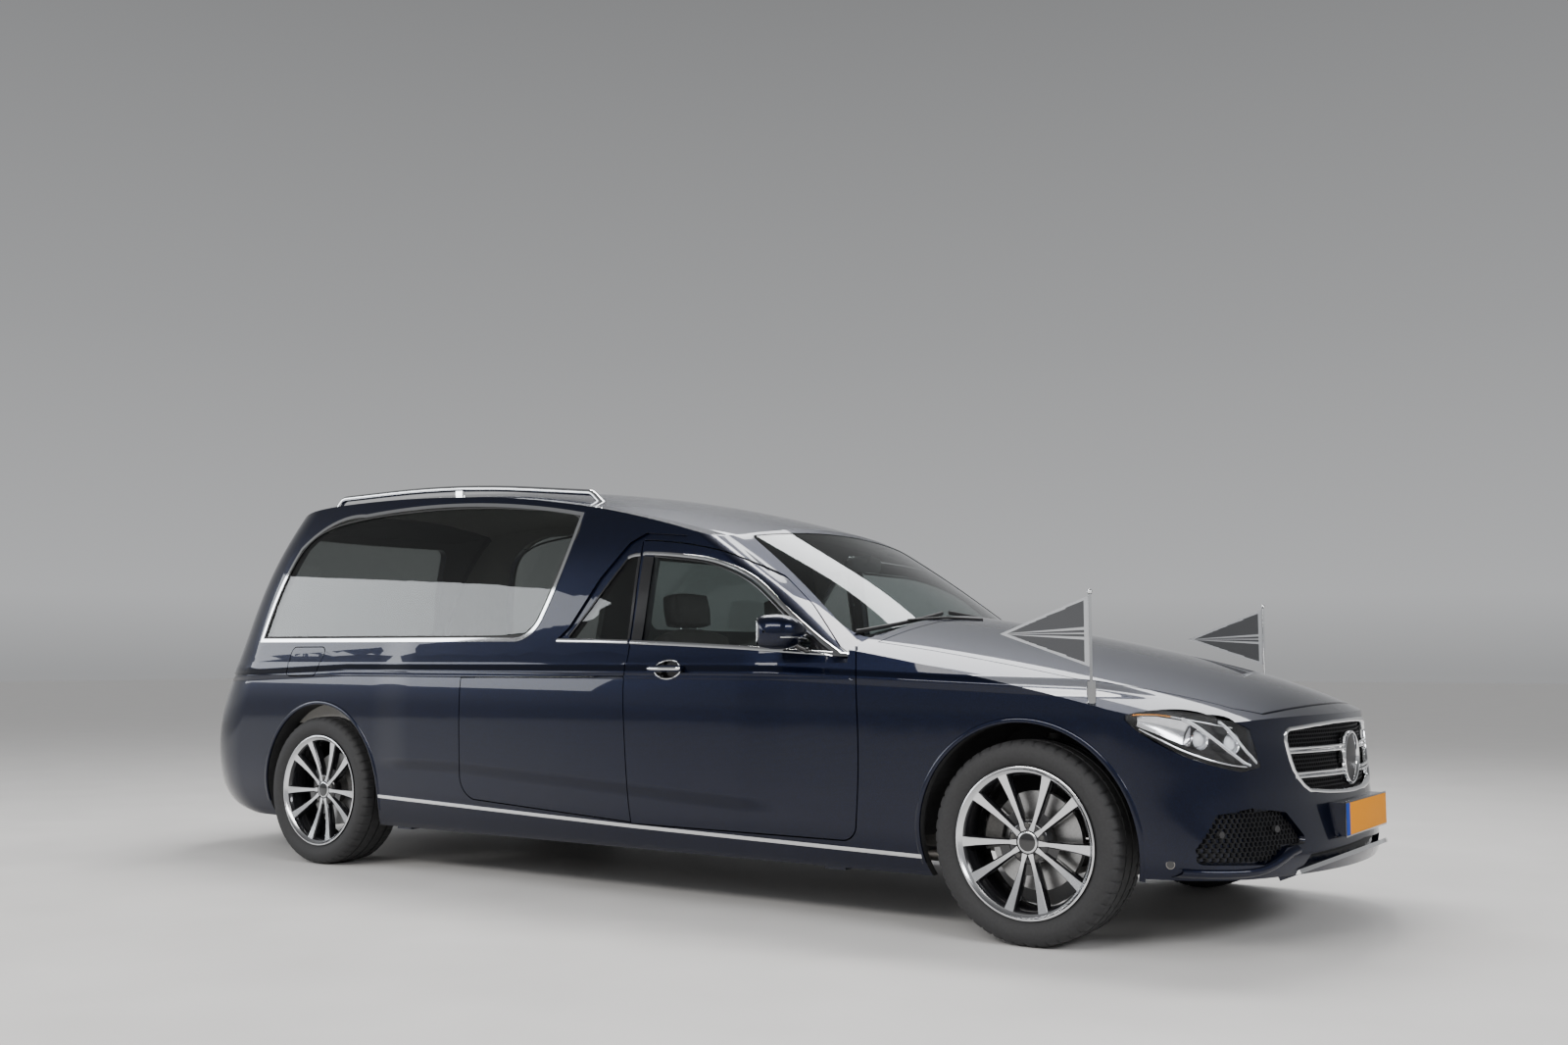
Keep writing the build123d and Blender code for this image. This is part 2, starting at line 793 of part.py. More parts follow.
lean = math.radians(blade_lean)
blade_plane = Plane(origin=(blade_tip_x, 0, blade_tip_z), x_dir=(math.cos(lean), 0, math.sin(lean)),
                    z_dir=(-math.sin(lean), 0, math.cos(lean)))
with BuildPart() as blade:
    with BuildSketch(blade_plane):
        with BuildLine():
            ThreePointArc((-blade_drop, -blade_reach), (0, 0), (-blade_drop, blade_reach))
            Line((-blade_drop, blade_reach), (-blade_drop - blade_depth, blade_reach))
            ThreePointArc((-blade_drop - blade_depth, blade_reach), (-blade_depth, 0),
                          (-blade_drop - blade_depth, -blade_reach))
            Line((-blade_drop - blade_depth, -blade_reach), (-blade_drop, -blade_reach))
        make_face()
    extrude(amount=-blade_thickness)
intake_cut = joined(
    side_pair(nose_prism([(-y, z) for y, z in side_intake_points], 18)),
    nose_prism(centre_intake_points, 6),
)
intake_box = slab(2300, 2900, -far, far, 260, 500)
inner_nose = common(nose_space, intake_box)
intake_mesh = common(without(common(lower_form(nose_wall - 10, 0), intake_box), inner_nose), intake_cut)
plate_block = without(slab(2700, plate_x, -plate_half_width, plate_half_width, plate_low_z, plate_high_z),
                      inner_nose)
front_bumper = joined(
    without(common(nose_shell, front_bumper_zone), arches, head_lamp_cut, grille_mouth, bonnet_prism(shut_gap, 0),
            intake_cut, slab(2000, 3000, -far, far, 0, nose_low_z)),
    intake_mesh,
    plate_block,
    blade.part,
)
write(front_bumper, "front_bumper")
rear_bumper = without(common(main_wall, rear_bumper_zone), arches)
write(rear_bumper, "rear_bumper")

# Grille: a bright frame, a dark backing and two pairs of bars
mouth_box = slab(2450, 2900, -520, 520, 460, 750)


def mouth_layer(outer, inner):
    """The nose between two depths under its skin, round the grille's mouth."""
    return without(common(lower_form(outer, 0), mouth_box), common(lower_form(inner, 0), mouth_box))


grille_ring = without(common(mouth_layer(-trim_proud, nose_wall), grille_mouth),
                      cross_prism(grille_outline, -grille_frame_width, 2450, 2900))
grille_plate = common(mouth_layer(nose_wall - 10, nose_wall), grille_mouth)
bar_boxes = joined(*[slab(2450, 2900, -far, far, z - grille_bar_height / 2, z + grille_bar_height / 2)
                     for z in grille_bar_heights])
grille_bars = common(common(mouth_layer(glass_recess, nose_wall), grille_mouth), bar_boxes)
with BuildPart() as emblem_disc:
    with BuildSketch(Plane.YZ.offset(2700)):
        with Locations((0, emblem_z)):
            Circle(emblem_radius)
    extrude(amount=46)
emblem_disc = without(emblem_disc.part, common(lower_form(nose_wall, 0), mouth_box))
grille = joined(grille_ring, grille_plate, grille_bars, emblem_disc)
write(grille, "grille")

# Floor pan with its front bulkhead
room = common(inner_space, open_box)
floor_pan = joined(
    without(common(room, joined(
        slab(floor_step_x, bulkhead_x, -far, far, floor_bottom_z, floor_top_z),
        slab(floor_step_x - floor_rear_wall, floor_step_x, -far, far, floor_bottom_z, rear_floor_z),
        slab(-2700, floor_step_x, -far, far, rear_floor_z - floor_rear_wall, rear_floor_z),
    )), wheel_room),
    common(room, slab(bulkhead_x - bulkhead_thickness, bulkhead_x, -far, far, floor_bottom_z, 1050)),
)
write(floor_pan, "floor_pan")
coffin_deck = without(
    joined(
        common(room, slab(-2690, partition_x, -far, far, deck_z - deck_thickness, deck_z - 8)),
        common(lower_form(door_wall + deck_margin, roof_wall),
               slab(-2676, partition_x, -far, far, deck_z - 8, deck_z)),
        slab(floor_step_x, partition_x, -14, 14, floor_top_z, deck_z - deck_thickness),
        side_pair(slab(-2400, partition_x, -360 - 15, -360 + 15, deck_z, deck_z + 22)),
    ), wheel_room)
write(coffin_deck, "coffin_deck")
partition = without(
    common(room, slab(partition_x, partition_x + partition_thickness, -far, far, floor_top_z, tool_top_z)),
    cross_prism(partition_window_outline, 0, partition_x - 10, partition_x + 60),
)
write(partition, "partition")

with BuildPart() as dash_block:
    with BuildSketch(Plane.XZ.offset(-far)):
        with BuildLine():
            Polyline((1180, 974), (bulkhead_x - bulkhead_thickness, 945), (bulkhead_x - bulkhead_thickness, 520))
            Line((bulkhead_x - bulkhead_thickness, 520), (960, 560))
            ThreePointArc((960, 560), (850, 640), (836, 760))
            ThreePointArc((836, 760), (850, 860), (930, 925))
            Line((930, 925), (1180, 974))
        make_face()
    extrude(amount=far * 2)
dash_room = slab(0, 2000, -dash_half_width, dash_half_width, 0, 2000)
dashboard = joined(common(dash_block.part, dash_room), slab(250, 1000, -110, 110, floor_top_z, 560))


with BuildPart() as right_seat:
    with BuildSketch(Plane.XZ.offset(seat_centre_y - seat_width / 2)):
        with BuildLine():
            Polyline(
                (640, floor_top_z), (690, 470), (660, 545), (300, 500), (160, 960), (150, 1110), (40, 1110),
                (50, 960), (170, 430), (200, floor_top_z), (640, floor_top_z),
            )
        make_face()
    extrude(amount=seat_width)
    fillet(right_seat.edges().filter_by(Axis.Y).group_by(Axis.Z)[-1], radius=30)
front_seats = side_pair(right_seat.part)
write(front_seats, "front_seats")

# Engine and running gear
write(slab(1420, 2260, -330, 330, 300, 860), "engine")
with BuildPart() as arm_end:
    with BuildSketch(Plane.XY.offset(arm_top_z - arm_thickness)):
        with Locations((front_axle_x, -kingpin_y)):
            Circle(arm_end_radius)
    extrude(amount=arm_thickness)
front_subframe = joined(
    side_pair(slab(bulkhead_x, 2640, -430, -370, 240, 300)),
    slab(1560, 1640, -370, 370, 240, 300),
    slab(2240, 2320, -370, 370, 240, 300),
    slab(2600, 2640, -430, 430, 240, 420),
    side_pair(slab(front_axle_x - arm_end_radius, front_axle_x + arm_end_radius, -kingpin_y, -430,
                   arm_top_z - arm_thickness, arm_top_z)),
    side_pair(arm_end.part),
    side_pair(slab(front_axle_x - 60, front_axle_x + 60, -440, -420, 196, 300)),
)
write(front_subframe, "front_subframe")
# Brake caliper section over a disc's edge. Columns: distance outwards from the disc's outer face, radius
caliper_points = [(-50, 118), (-50, 180), (-40, 186), (16, 186), (26, 178), (26, 118), (8, 118), (8, 171),
                  (-36, 171), (-36, 118)]
caliper_sweep = 48
front_caliper_start = -102
rear_caliper_start = 51


def caliper(x, hub_y, side, start):
    """A brake caliper over a disc's edge, swept about the axle from an angle counted forwards from the top."""
    turn = math.radians(start)
    with BuildPart() as block:
        with BuildSketch(Plane(origin=(x, hub_y, hub_z), x_dir=(0, side, 0),
                               z_dir=(side * math.cos(turn), 0, -side * math.sin(turn)))):
            with BuildLine():
                Polyline(*caliper_points, caliper_points[0])
            make_face()
        revolve(axis=Axis((x, hub_y, hub_z), (0, 1, 0)), revolution_arc=caliper_sweep)
    return block.part


rear_axle = joined(
    slab(rear_axle_x - 260, rear_axle_x + 260, -560, 560, 345, 395),
    *[slab(rear_axle_x + x - 30, rear_axle_x + x + 30, y - 30, y + 30, 395, rear_floor_z - floor_rear_wall)
      for x in (-220, 220) for y in (-520, 520)],
    side_pair(joined(
        slab(rear_axle_x - 120, rear_axle_x - 70, -carrier_rear_y, -500, 262, 296),
        slab(rear_axle_x + 70, rear_axle_x + 120, -carrier_rear_y, -500, 262, 296),
        slab(rear_axle_x - 120, rear_axle_x + 120, -560, -500, 262, 345),
        slab(rear_axle_x - 120, rear_axle_x + 120, -carrier_rear_y, -carrier_rear_y + 34, 262, 330),
        slab(rear_axle_x - 55, rear_axle_x + 55, -carrier_rear_y, -carrier_rear_y + 34, 262, 440),
        wheel_drum(rear_axle_x, spindle_radius, -carrier_rear_y, -(track_rear / 2 + spindle_reach)),
        slab(rear_axle_x + 50, rear_axle_x + 150, 46 - track_rear / 2, 10 - carrier_rear_y, hub_z + 10,
             hub_z + 70),
        caliper(rear_axle_x, -track_rear / 2, -1, rear_caliper_start),
    )),
)
write(rear_axle, "rear_axle")


def knuckle(side):
    """The steered upright of one front wheel, with its spindle, brake caliper and strut tube."""
    hub_y = side * track_front / 2
    face = Plane(origin=(front_axle_x, hub_y - side * 45, hub_z), x_dir=(-side, 0, 0), z_dir=(0, side, 0))
    with BuildPart() as upright:
        with BuildSketch(face):
            with BuildLine():
                Polyline((-50, -116), (50, -116), (62, 0), (44, 150), (-44, 150), (-62, 0), (-50, -116))
            make_face()
        extrude(amount=-32)
        with BuildSketch(face):
            Circle(spindle_radius)
        extrude(amount=45 + spindle_reach)
        with BuildSketch(Plane.XY.offset(arm_top_z + seat_clearance)):
            with Locations((front_axle_x, side * kingpin_y)):
                Circle(arm_end_radius - 1)
        extrude(amount=40)
        with BuildSketch(Plane.XY.offset(hub_z + 110)):
            with Locations((front_axle_x, hub_y - side * 152)):
                Circle(27)
        extrude(amount=strut_top_z - hub_z - 110)
        with BuildSketch(Plane.XY.offset(hub_z + 110)):
            with Locations((front_axle_x, hub_y - side * 105)):
                Rectangle(54, 94)
        extrude(amount=40)
        with BuildSketch(Plane.XY.offset(hub_z - 20)):
            with Locations((front_axle_x - 100, hub_y - side * 53)):
                Rectangle(100, 14)
        extrude(amount=80)
        add(caliper(front_axle_x, hub_y, side, front_caliper_start))
    return upright.part


for side, name in ((-1, "knuckle_right"), (1, "knuckle_left")):
    write(knuckle(side), name)

# Rim section in front of and behind the wheel's centre plane. Columns: distance outwards, radius
barrel_outer = [(-107, 253), (-98, 253), (-98, 238), (98, 238), (98, 253), (107, 253)]
barrel_inner = [(107, 245), (96, 230), (60, 222), (-20, 214), (-60, 226), (-98, 230), (-107, 245)]
rim_face_out = 86
tyre_half = tyre_width / 2


def wheel_plane(x, hub_y, side):
    """The upright plane through a wheel's axis, its first direction pointing away from the car."""
    return Plane(origin=(x, hub_y, hub_z), x_dir=(0, side, 0), z_dir=(side, 0, 0))


def rim(x, hub_y, side):
    """One wheel: barrel, ten spokes in five pairs, hub and brake disc."""
    across = wheel_plane(x, hub_y, side)
    outward = Plane(origin=(x, hub_y, hub_z), x_dir=(-side, 0, 0), z_dir=(0, side, 0))
    axis = Axis((x, hub_y, hub_z), (0, side, 0))
    with BuildPart() as wheel:
        with BuildSketch(across):
            with BuildLine():
                Polyline(*barrel_outer, *barrel_inner, barrel_outer[0])
            make_face()
        revolve(axis=axis)
        with BuildSketch(outward.offset(spoke_back)):
            for pair in range(spoke_pairs):
                for lean in (-spoke_spread, spoke_spread):
                    with Locations(Rotation(0, 0, 90 + 360 / spoke_pairs * pair + lean)):
                        with Locations((145, 0)):
                            Rectangle(180, 24)
        extrude(amount=rim_face_out - spoke_back)
        with BuildSketch(outward.offset(-disc_thickness)):
            Circle(disc_radius)
        extrude(amount=disc_thickness)
        with BuildSketch(outward.offset(-disc_thickness)):
            Circle(hub_radius)
        extrude(amount=disc_thickness + rim_face_out - 4)
        with BuildSketch(outward.offset(-disc_thickness)):
            Circle(spindle_radius + bearing_clearance)
        extrude(amount=disc_thickness + spindle_reach + 1, mode=Mode.SUBTRACT)
    return wheel.part


def tyre(x, hub_y, side):
    """One tyre with rounded shoulders and three grooves round its tread."""
    with BuildPart() as ring:
        with BuildSketch(wheel_plane(x, hub_y, side)):
            with BuildLine():
                Line((-97.5, 238.3), (97.5, 238.3))
                Line((97.5, 238.3), (97.5, 254))
                ThreePointArc((97.5, 254), (tyre_half, 294), (104, 330))
                ThreePointArc((104, 330), (98, 335), (88, wheel_radius - 1))
                ThreePointArc((88, wheel_radius - 1), (0, wheel_radius), (-88, wheel_radius - 1))
                ThreePointArc((-88, wheel_radius - 1), (-98, 335), (-104, 330))
                ThreePointArc((-104, 330), (-tyre_half, 294), (-97.5, 254))
                Line((-97.5, 254), (-97.5, 238.3))
            make_face()
            with Locations(*[(place, wheel_radius) for place in groove_places]):
                Rectangle(9, 14, mode=Mode.SUBTRACT)
        revolve(axis=Axis((x, hub_y, hub_z), (0, side, 0)))
    return ring.part


for end, x, track in (("front", front_axle_x, track_front), ("rear", rear_axle_x, track_rear)):
    for side, hand in ((-1, "right"), (1, "left")):
        write(rim(x, side * track / 2, side), "rim_" + end + "_" + hand)
        write(tyre(x, side * track / 2, side), "tyre_" + end + "_" + hand)

# Door mirrors
with BuildPart() as mirror_body:
    for y, x, z, length, height in mirror_sections:
        with BuildSketch(Plane.XZ.offset(-y)):
            with Locations((x, z)):
                Ellipse(length / 2, height / 2)
    loft()
mirror_right = without(mirror_body.part, skin)
write(mirror_right, "mirror_right")
write(mirror(mirror_right, about=Plane.XZ), "mirror_left")

# Steering wheel, its axis leaning up and back
wheel_seat = Plane(origin=(steering_x, steering_y, steering_z), x_dir=(0, 1, 0),
                   z_dir=(-math.cos(math.radians(column_lean)), 0, math.sin(math.radians(column_lean))))
with BuildPart() as steering_wheel:
    with BuildSketch(Plane(wheel_seat.origin, x_dir=wheel_seat.x_dir, z_dir=wheel_seat.y_dir)):
        with Locations((steering_radius, 0)):
            Circle(steering_grip)
    revolve(axis=Axis(wheel_seat.origin, wheel_seat.z_dir))
    with BuildSketch(wheel_seat.offset(-16)):
        Circle(62)
        with Locations((-steering_radius / 2, 0), (steering_radius / 2, 0)):
            Rectangle(steering_radius, 34)
        with Locations((0, -steering_radius / 2)):
            Rectangle(40, steering_radius)
    extrude(amount=20)
    with BuildSketch(wheel_seat.offset(-16)):
        Circle(24)
    extrude(amount=-column_reach)
write(steering_wheel.part, "steering_wheel")
with BuildPart() as column:
    with BuildSketch(wheel_seat.offset(-16 - column_reach - seat_clearance)):
        Circle(36)
    extrude(amount=-200)
dash_front = slab(bulkhead_x - bulkhead_thickness, 3000, -far, far, 0, 2000)
dashboard = joined(dashboard, without(column.part, dash_front))
write(dashboard, "dashboard")

# Roof rails, one on each side of the roof
with BuildPart() as rail:
    with BuildLine() as rail_path:
        FilletPolyline(*[(x, -rail_y, z) for x, z, bend in rail_points],
                       radius=[bend for x, z, bend in rail_points[1:-1]])
    with BuildSketch(Plane(origin=rail_path.line @ 0, z_dir=rail_path.line % 0)):
        Circle(rail_radius)
    sweep()
    with BuildSketch(Plane.XY.offset(1650)):
        with Locations((rail_post_x, -rail_y)):
            SlotOverall(60, 18)
    extrude(amount=rail_post_z - 1650)
roof_rails = side_pair(without(rail.part, skin))
write(roof_rails, "roof_rails")

# Bright strip along the sill
sill_strip = common(
    lower_form(-trim_proud, 0),
    zone([(-1262, 337), (224, 296), (1534, 271), (1534, 257), (224, 282), (-1262, 323)], -500, side_far),
)
sill_trims = side_pair(without(sill_strip, lower_skin))
write(sill_trims, "sill_trims")

# Flag poles with their sockets on the wings
with BuildPart() as pole:
    with BuildSketch(Plane.XY.offset(pole_low_z)):
        with Locations((pole_x, -pole_y)):
            Circle(15)
    extrude(amount=pole_socket_z - pole_low_z)
    with BuildSketch(Plane.XY.offset(pole_low_z)):
        with Locations((pole_x, -pole_y)):
            Circle(pole_radius)
    extrude(amount=pole_top_z - pole_low_z)
    with Locations((pole_x, -pole_y, pole_top_z)):
        Sphere(9)
flag_poles = side_pair(without(pole.part, lower_skin))
write(flag_poles, "flag_poles")
with BuildPart() as pennant:
    with BuildSketch(Plane.XZ.offset(pole_y - pennant_thickness / 2)):
        with BuildLine():
            Polyline(
                (pole_x - pole_radius - seat_clearance, 1150), (pole_x - pole_radius - seat_clearance, 919),
                (1848, 1028), (pole_x - pole_radius - seat_clearance, 1150),
            )
        make_face()
    extrude(amount=pennant_thickness)
pennants = side_pair(pennant.part)
write(pennants, "pennants")

# Inner mirror under the windscreen's head, its stem cut to the glass
inner_glass = cabin_form(glass_inner, glass_inner, shoulder_z - 20)
with BuildPart() as inner_mirror:
    with BuildSketch(Plane.YZ.offset(inner_mirror_x)):
        with Locations((0, inner_mirror_z)):
            RectangleRounded(230, 66, 26)
    extrude(amount=26)
    with BuildSketch(Plane(origin=(inner_mirror_x + 20, 0, inner_mirror_z), z_dir=(0.5, 0, 0.85))):
        Circle(9)
    extrude(amount=160)
interior_mirror = common(inner_mirror.part, inner_glass)
write(interior_mirror, "interior_mirror")

# Exhaust: a pipe under the floor and a silencer in the rear
exhaust = joined(
    slab(-2420, -1960, -300, 300, 250, rear_floor_z - floor_rear_wall - 40),
    *[slab(x - 12, x + 12, y - 12, y + 12, rear_floor_z - floor_rear_wall - 40, rear_floor_z - floor_rear_wall)
      for x in (-2380, -2000) for y in (-260, 260)],
)
with BuildPart() as pipe:
    with BuildLine() as pipe_path:
        FilletPolyline((1480, -180, 262), (1300, -180, 180), (-1190, -180, 180), (-1340, -180, 300),
                       (-1962, -180, 300), radius=70)
    with BuildSketch(Plane(origin=pipe_path.line @ 0, z_dir=pipe_path.line % 0)):
        Circle(30)
    sweep()
exhaust = joined(exhaust, pipe.part)
write(exhaust, "exhaust")
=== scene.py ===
"""The looks of the hearse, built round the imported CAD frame. Metres; +X forward, +Y left, +Z up."""
import math

import bmesh
import bpy
import numpy as np
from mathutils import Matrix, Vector


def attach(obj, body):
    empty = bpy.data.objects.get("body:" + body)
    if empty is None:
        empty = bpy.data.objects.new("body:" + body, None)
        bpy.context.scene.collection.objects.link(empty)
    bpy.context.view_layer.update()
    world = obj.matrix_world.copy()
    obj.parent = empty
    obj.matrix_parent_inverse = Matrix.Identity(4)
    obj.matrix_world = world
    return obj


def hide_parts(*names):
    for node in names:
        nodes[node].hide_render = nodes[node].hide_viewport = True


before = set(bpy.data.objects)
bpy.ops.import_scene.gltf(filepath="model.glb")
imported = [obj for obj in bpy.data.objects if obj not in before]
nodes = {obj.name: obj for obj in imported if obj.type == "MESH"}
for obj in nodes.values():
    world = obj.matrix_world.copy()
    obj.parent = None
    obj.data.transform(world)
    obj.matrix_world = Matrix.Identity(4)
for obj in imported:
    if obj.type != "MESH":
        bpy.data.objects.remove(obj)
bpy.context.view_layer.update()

# The outline tables of the CAD source, in millimetres. The CAD's loft bulges more below its second section than the
# spline here does, so the lowest row lies further out here, and plan() tucks in the lowest edge. The two then agree
# within about 1 mm. Columns: height, front, rear, half width, and the radii of the front, the side and both corners.
lower_rows = np.array([
    (196, 2811.6, -2707.9, 862.5, 1500, 250000, 420, 480),
    (356, 2785, -2800, 909, 1550, 250000, 420, 500),
    (516, 2758, -2828, 921, 1590, 250000, 420, 520),
    (676, 2746, -2800, 926, 1630, 250000, 420, 520),
    (836, 2722, -2732, 921, 1680, 250000, 420, 510),
    (996, 2680, -2692, 885, 1700, 160000, 420, 490),
    (1156, 2620, -2668, 830, 1700, 100000, 420, 470),
], float)
cabin_rows = np.array([
    (860, 1616, -2722, 927, 1600, 250000, 95, 500),
    (1080, 1262, -2665, 856, 1660, 115000, 95, 455),
    (1300, 927, -2575, 812, 1750, 70000, 100, 400),
    (1520, 547, -2455, 750, 1900, 60000, 110, 345),
    (1740, 147, -2310, 668, 2000, 52000, 115, 300),
    (1960, -270, -2140, 570, 2100, 46000, 120, 260),
], float)
roof_rows = np.array([
    (-2700, 1270), (-2400, 1612), (-2100, 1738), (-1800, 1762), (-1500, 1766), (-1200, 1761), (-900, 1748),
    (-600, 1725), (-300, 1688), (0, 1640), (300, 1576), (600, 1495), (900, 1388), (1200, 1262), (1500, 1130),
], float)
bonnet_rows = np.array([
    (1100, 1140), (1400, 1098), (1700, 1048), (2000, 990), (2300, 921), (2600, 824), (2900, 640),
], float)
rear_crown, roof_crown, bonnet_crown, shoulder = 2400, 3400, 2800, 930
lower_middle, cabin_middle = 0, -300
tuck_below, tuck_rate, least_corner = 330, 0.0029, 30


def spline(rows, at):
    """A smooth curve through evenly spaced rows, for every column after the first."""
    n, step = len(rows), rows[1, 0] - rows[0, 0]
    system = np.zeros((n, n))
    right = np.zeros((n, rows.shape[1] - 1))
    system[0, :3] = (1, -2, 1)
    system[-1, -3:] = (1, -2, 1)
    for i in range(1, n - 1):
        system[i, i - 1:i + 2] = (1, 4, 1)
        right[i] = 6 * (rows[i + 1, 1:] - 2 * rows[i, 1:] + rows[i - 1, 1:]) / step ** 2
    bend = np.linalg.solve(system, right)
    at = np.atleast_1d(np.asarray(at, float))
    k = np.clip(((at - rows[0, 0]) / step).astype(int), 0, n - 2)
    b = (at - rows[k, 0]) / step
    a = 1 - b
    low, high = rows[k, 1:], rows[k + 1, 1:]
    a, b = a[:, None], b[:, None]
    return a * low + b * high + ((a ** 3 - a) * bend[k] + (b ** 3 - b) * bend[k + 1]) * step ** 2 / 6


def plan(rows, middle, z, inset):
    """The arcs of the plan outlines at some heights."""
    front, rear, half, fr, sr, fc, rc = spline(rows, z).T
    tuck = inset + tuck_rate * np.maximum(tuck_below - z, 0) ** 2
    front, rear, half, fr, sr = front - tuck, rear + tuck, half - inset, fr - inset, sr - inset
    fc, rc, rr = np.maximum(fc - inset, least_corner), np.maximum(rc - inset, least_corner), rear_crown - inset
    side = half - sr

    def corner(end_x, end_r, corner_r, ahead):
        gap = np.hypot(end_x - middle, side)
        along = ((end_r - corner_r) ** 2 - (sr - corner_r) ** 2 + gap ** 2) / (2 * gap)
        across = np.sqrt(np.maximum((end_r - corner_r) ** 2 - along ** 2, 0))
        ux, uy = (middle - end_x) / gap, side / gap
        bx, by = end_x + along * ux, along * uy
        one, two = bx - across * uy, bx + across * uy
        pick = (one * ahead) > (two * ahead)
        return np.where(pick, one, two), np.where(pick, by + across * ux, by - across * ux)

    fx, fy = corner(front - fr, fr, fc, 1)
    rx, ry = corner(rear + rr, rr, rc, -1)
    return dict(front=front, rear=rear, fr=fr, sr=sr, fc=fc, rc=rc, rr=rr, side=side, fx=fx, fy=fy, rx=rx, ry=ry)


def half_width(rows, middle, x, z, inset):
    """How far from the centre plane the outline lies at stations x and heights z."""
    x, z = np.broadcast_arrays(np.atleast_1d(np.asarray(x, float)), np.atleast_1d(np.asarray(z, float)))
    p = plan(rows, middle, z, inset)
    side = p["side"] + np.sqrt(np.maximum(p["sr"] ** 2 - (x - middle) ** 2, 0))
    ds = np.hypot(p["fx"] - middle, p["fy"] - p["side"])
    join_front = middle + (p["fx"] - middle) * p["sr"] / ds
    ds = np.hypot(p["rx"] - middle, p["ry"] - p["side"])
    join_rear = middle + (p["rx"] - middle) * p["sr"] / ds
    fcx = p["front"] - p["fr"]
    end_front = fcx + (p["fx"] - fcx) * p["fr"] / np.hypot(p["fx"] - fcx, p["fy"])
    rcx = p["rear"] + p["rr"]
    end_rear = rcx + (p["rx"] - rcx) * p["rr"] / np.hypot(p["rx"] - rcx, p["ry"])
    corner_f = p["fy"] + np.sqrt(np.maximum(p["fc"] ** 2 - (x - p["fx"]) ** 2, 0))
    corner_r = p["ry"] + np.sqrt(np.maximum(p["rc"] ** 2 - (x - p["rx"]) ** 2, 0))
    crown_f = np.sqrt(np.maximum(p["fr"] ** 2 - (x - fcx) ** 2, 0))
    crown_r = np.sqrt(np.maximum(p["rr"] ** 2 - (x - rcx) ** 2, 0))
    return np.select([x > end_front, x > join_front, x < end_rear, x < join_rear],
                     [crown_f, corner_f, crown_r, corner_r], side)


def end_x(rows, middle, y, z, inset, ahead):
    """The station of the outline's front (ahead 1) or rear (-1) end at places y and heights z."""
    y, z = np.broadcast_arrays(np.abs(np.atleast_1d(np.asarray(y, float))), np.atleast_1d(np.asarray(z, float)))
    p = plan(rows, middle, z, inset)
    if ahead > 0:
        centre, r, cx, cy, cr = p["front"] - p["fr"], p["fr"], p["fx"], p["fy"], p["fc"]
    else:
        centre, r, cx, cy, cr = p["rear"] + p["rr"], p["rr"], p["rx"], p["ry"], p["rc"]
    join = cy * r / np.hypot(cx - centre, cy)
    crown = centre + ahead * np.sqrt(np.maximum(r ** 2 - y ** 2, 0))
    corner = cx + ahead * np.sqrt(np.maximum(cr ** 2 - (y - cy) ** 2, 0))
    return np.where(y > join, corner, crown)


def lower_side(x, z, inset=0.0):
    return half_width(lower_rows, lower_middle, x, z, inset)


def cabin_side(x, z, inset=0.0):
    return half_width(cabin_rows, cabin_middle, x, z, inset)


def nose(y, z, inset=0.0):
    return end_x(lower_rows, lower_middle, y, z, inset, 1)


def tail(y, z, inset=0.0):
    return end_x(lower_rows, lower_middle, y, z, inset, -1)


def screen_x(y, z):
    return end_x(cabin_rows, cabin_middle, y, z, 0, 1)


def gate_x(y, z):
    return end_x(cabin_rows, cabin_middle, y, z, 0, -1)


def crowned(rows, crown, x, y):
    """The height of a lengthwise line that falls off to both sides as a round crown."""
    return spline(rows, x)[:, 0] - (crown - np.sqrt(crown ** 2 - y ** 2))


def roof(x, y):
    return crowned(roof_rows, roof_crown, x, y)


def bonnet_top(x, y):
    return crowned(bonnet_rows, bonnet_crown, x, y)


# Materials, all procedural
def feed(tree, node, inputs):
    """Sets a node's inputs to values, or links them to sockets."""
    for key, value in inputs.items():
        if isinstance(value, bpy.types.NodeSocket):
            tree.links.new(value, node.inputs[key])
        else:
            node.inputs[key].default_value = value


def add(tree, kind, inputs, **settings):
    """A new shader node with its inputs and settings."""
    node = tree.nodes.new("ShaderNode" + kind)
    for key, value in settings.items():
        setattr(node, key, value)
    feed(tree, node, inputs)
    return node


def material(name):
    """A new material, its node tree and the shader that it ends in."""
    made = bpy.data.materials.new(name)
    made.use_nodes = True
    return made, made.node_tree, made.node_tree.nodes["Principled BSDF"]


def place(tree):
    return add(tree, "TexCoord", {}).outputs["Object"]


def noise(tree, scale, detail=4.0, rough=0.55, stretch=(1, 1, 1)):
    """Noise in object coordinates."""
    where = add(tree, "Mapping", {"Vector": place(tree), "Scale": stretch}).outputs["Vector"]
    return add(tree, "TexNoise", {"Vector": where, "Scale": scale, "Detail": detail, "Roughness": rough}).outputs["Fac"]


def ramp(tree, source, *stops):
    """A colour ramp fed by a value."""
    node = add(tree, "ValToRGB", {"Fac": source})
    element = node.color_ramp.elements
    while len(element) < len(stops):
        element.new(0.5)
    for k, (at, colour) in enumerate(stops):
        element[k].position = at
        element[k].color = (*colour, 1)
    return node.outputs["Color"]


def ranged(tree, source, low, high, to_low=0.0, to_high=1.0, smooth=False):
    """A value mapped from one range to another and clamped."""
    return add(tree, "MapRange", {"Value": source, "From Min": low, "From Max": high, "To Min": to_low,
                                  "To Max": to_high},
               interpolation_type="SMOOTHSTEP" if smooth else "LINEAR").outputs["Result"]


def bump(tree, shader, source, strength, distance):
    """Relief on a shader from a value."""
    node = add(tree, "Bump", {"Strength": strength, "Distance": distance, "Height": source})
    feed(tree, shader, {"Normal": node.outputs["Normal"]})
    return node.outputs["Normal"]


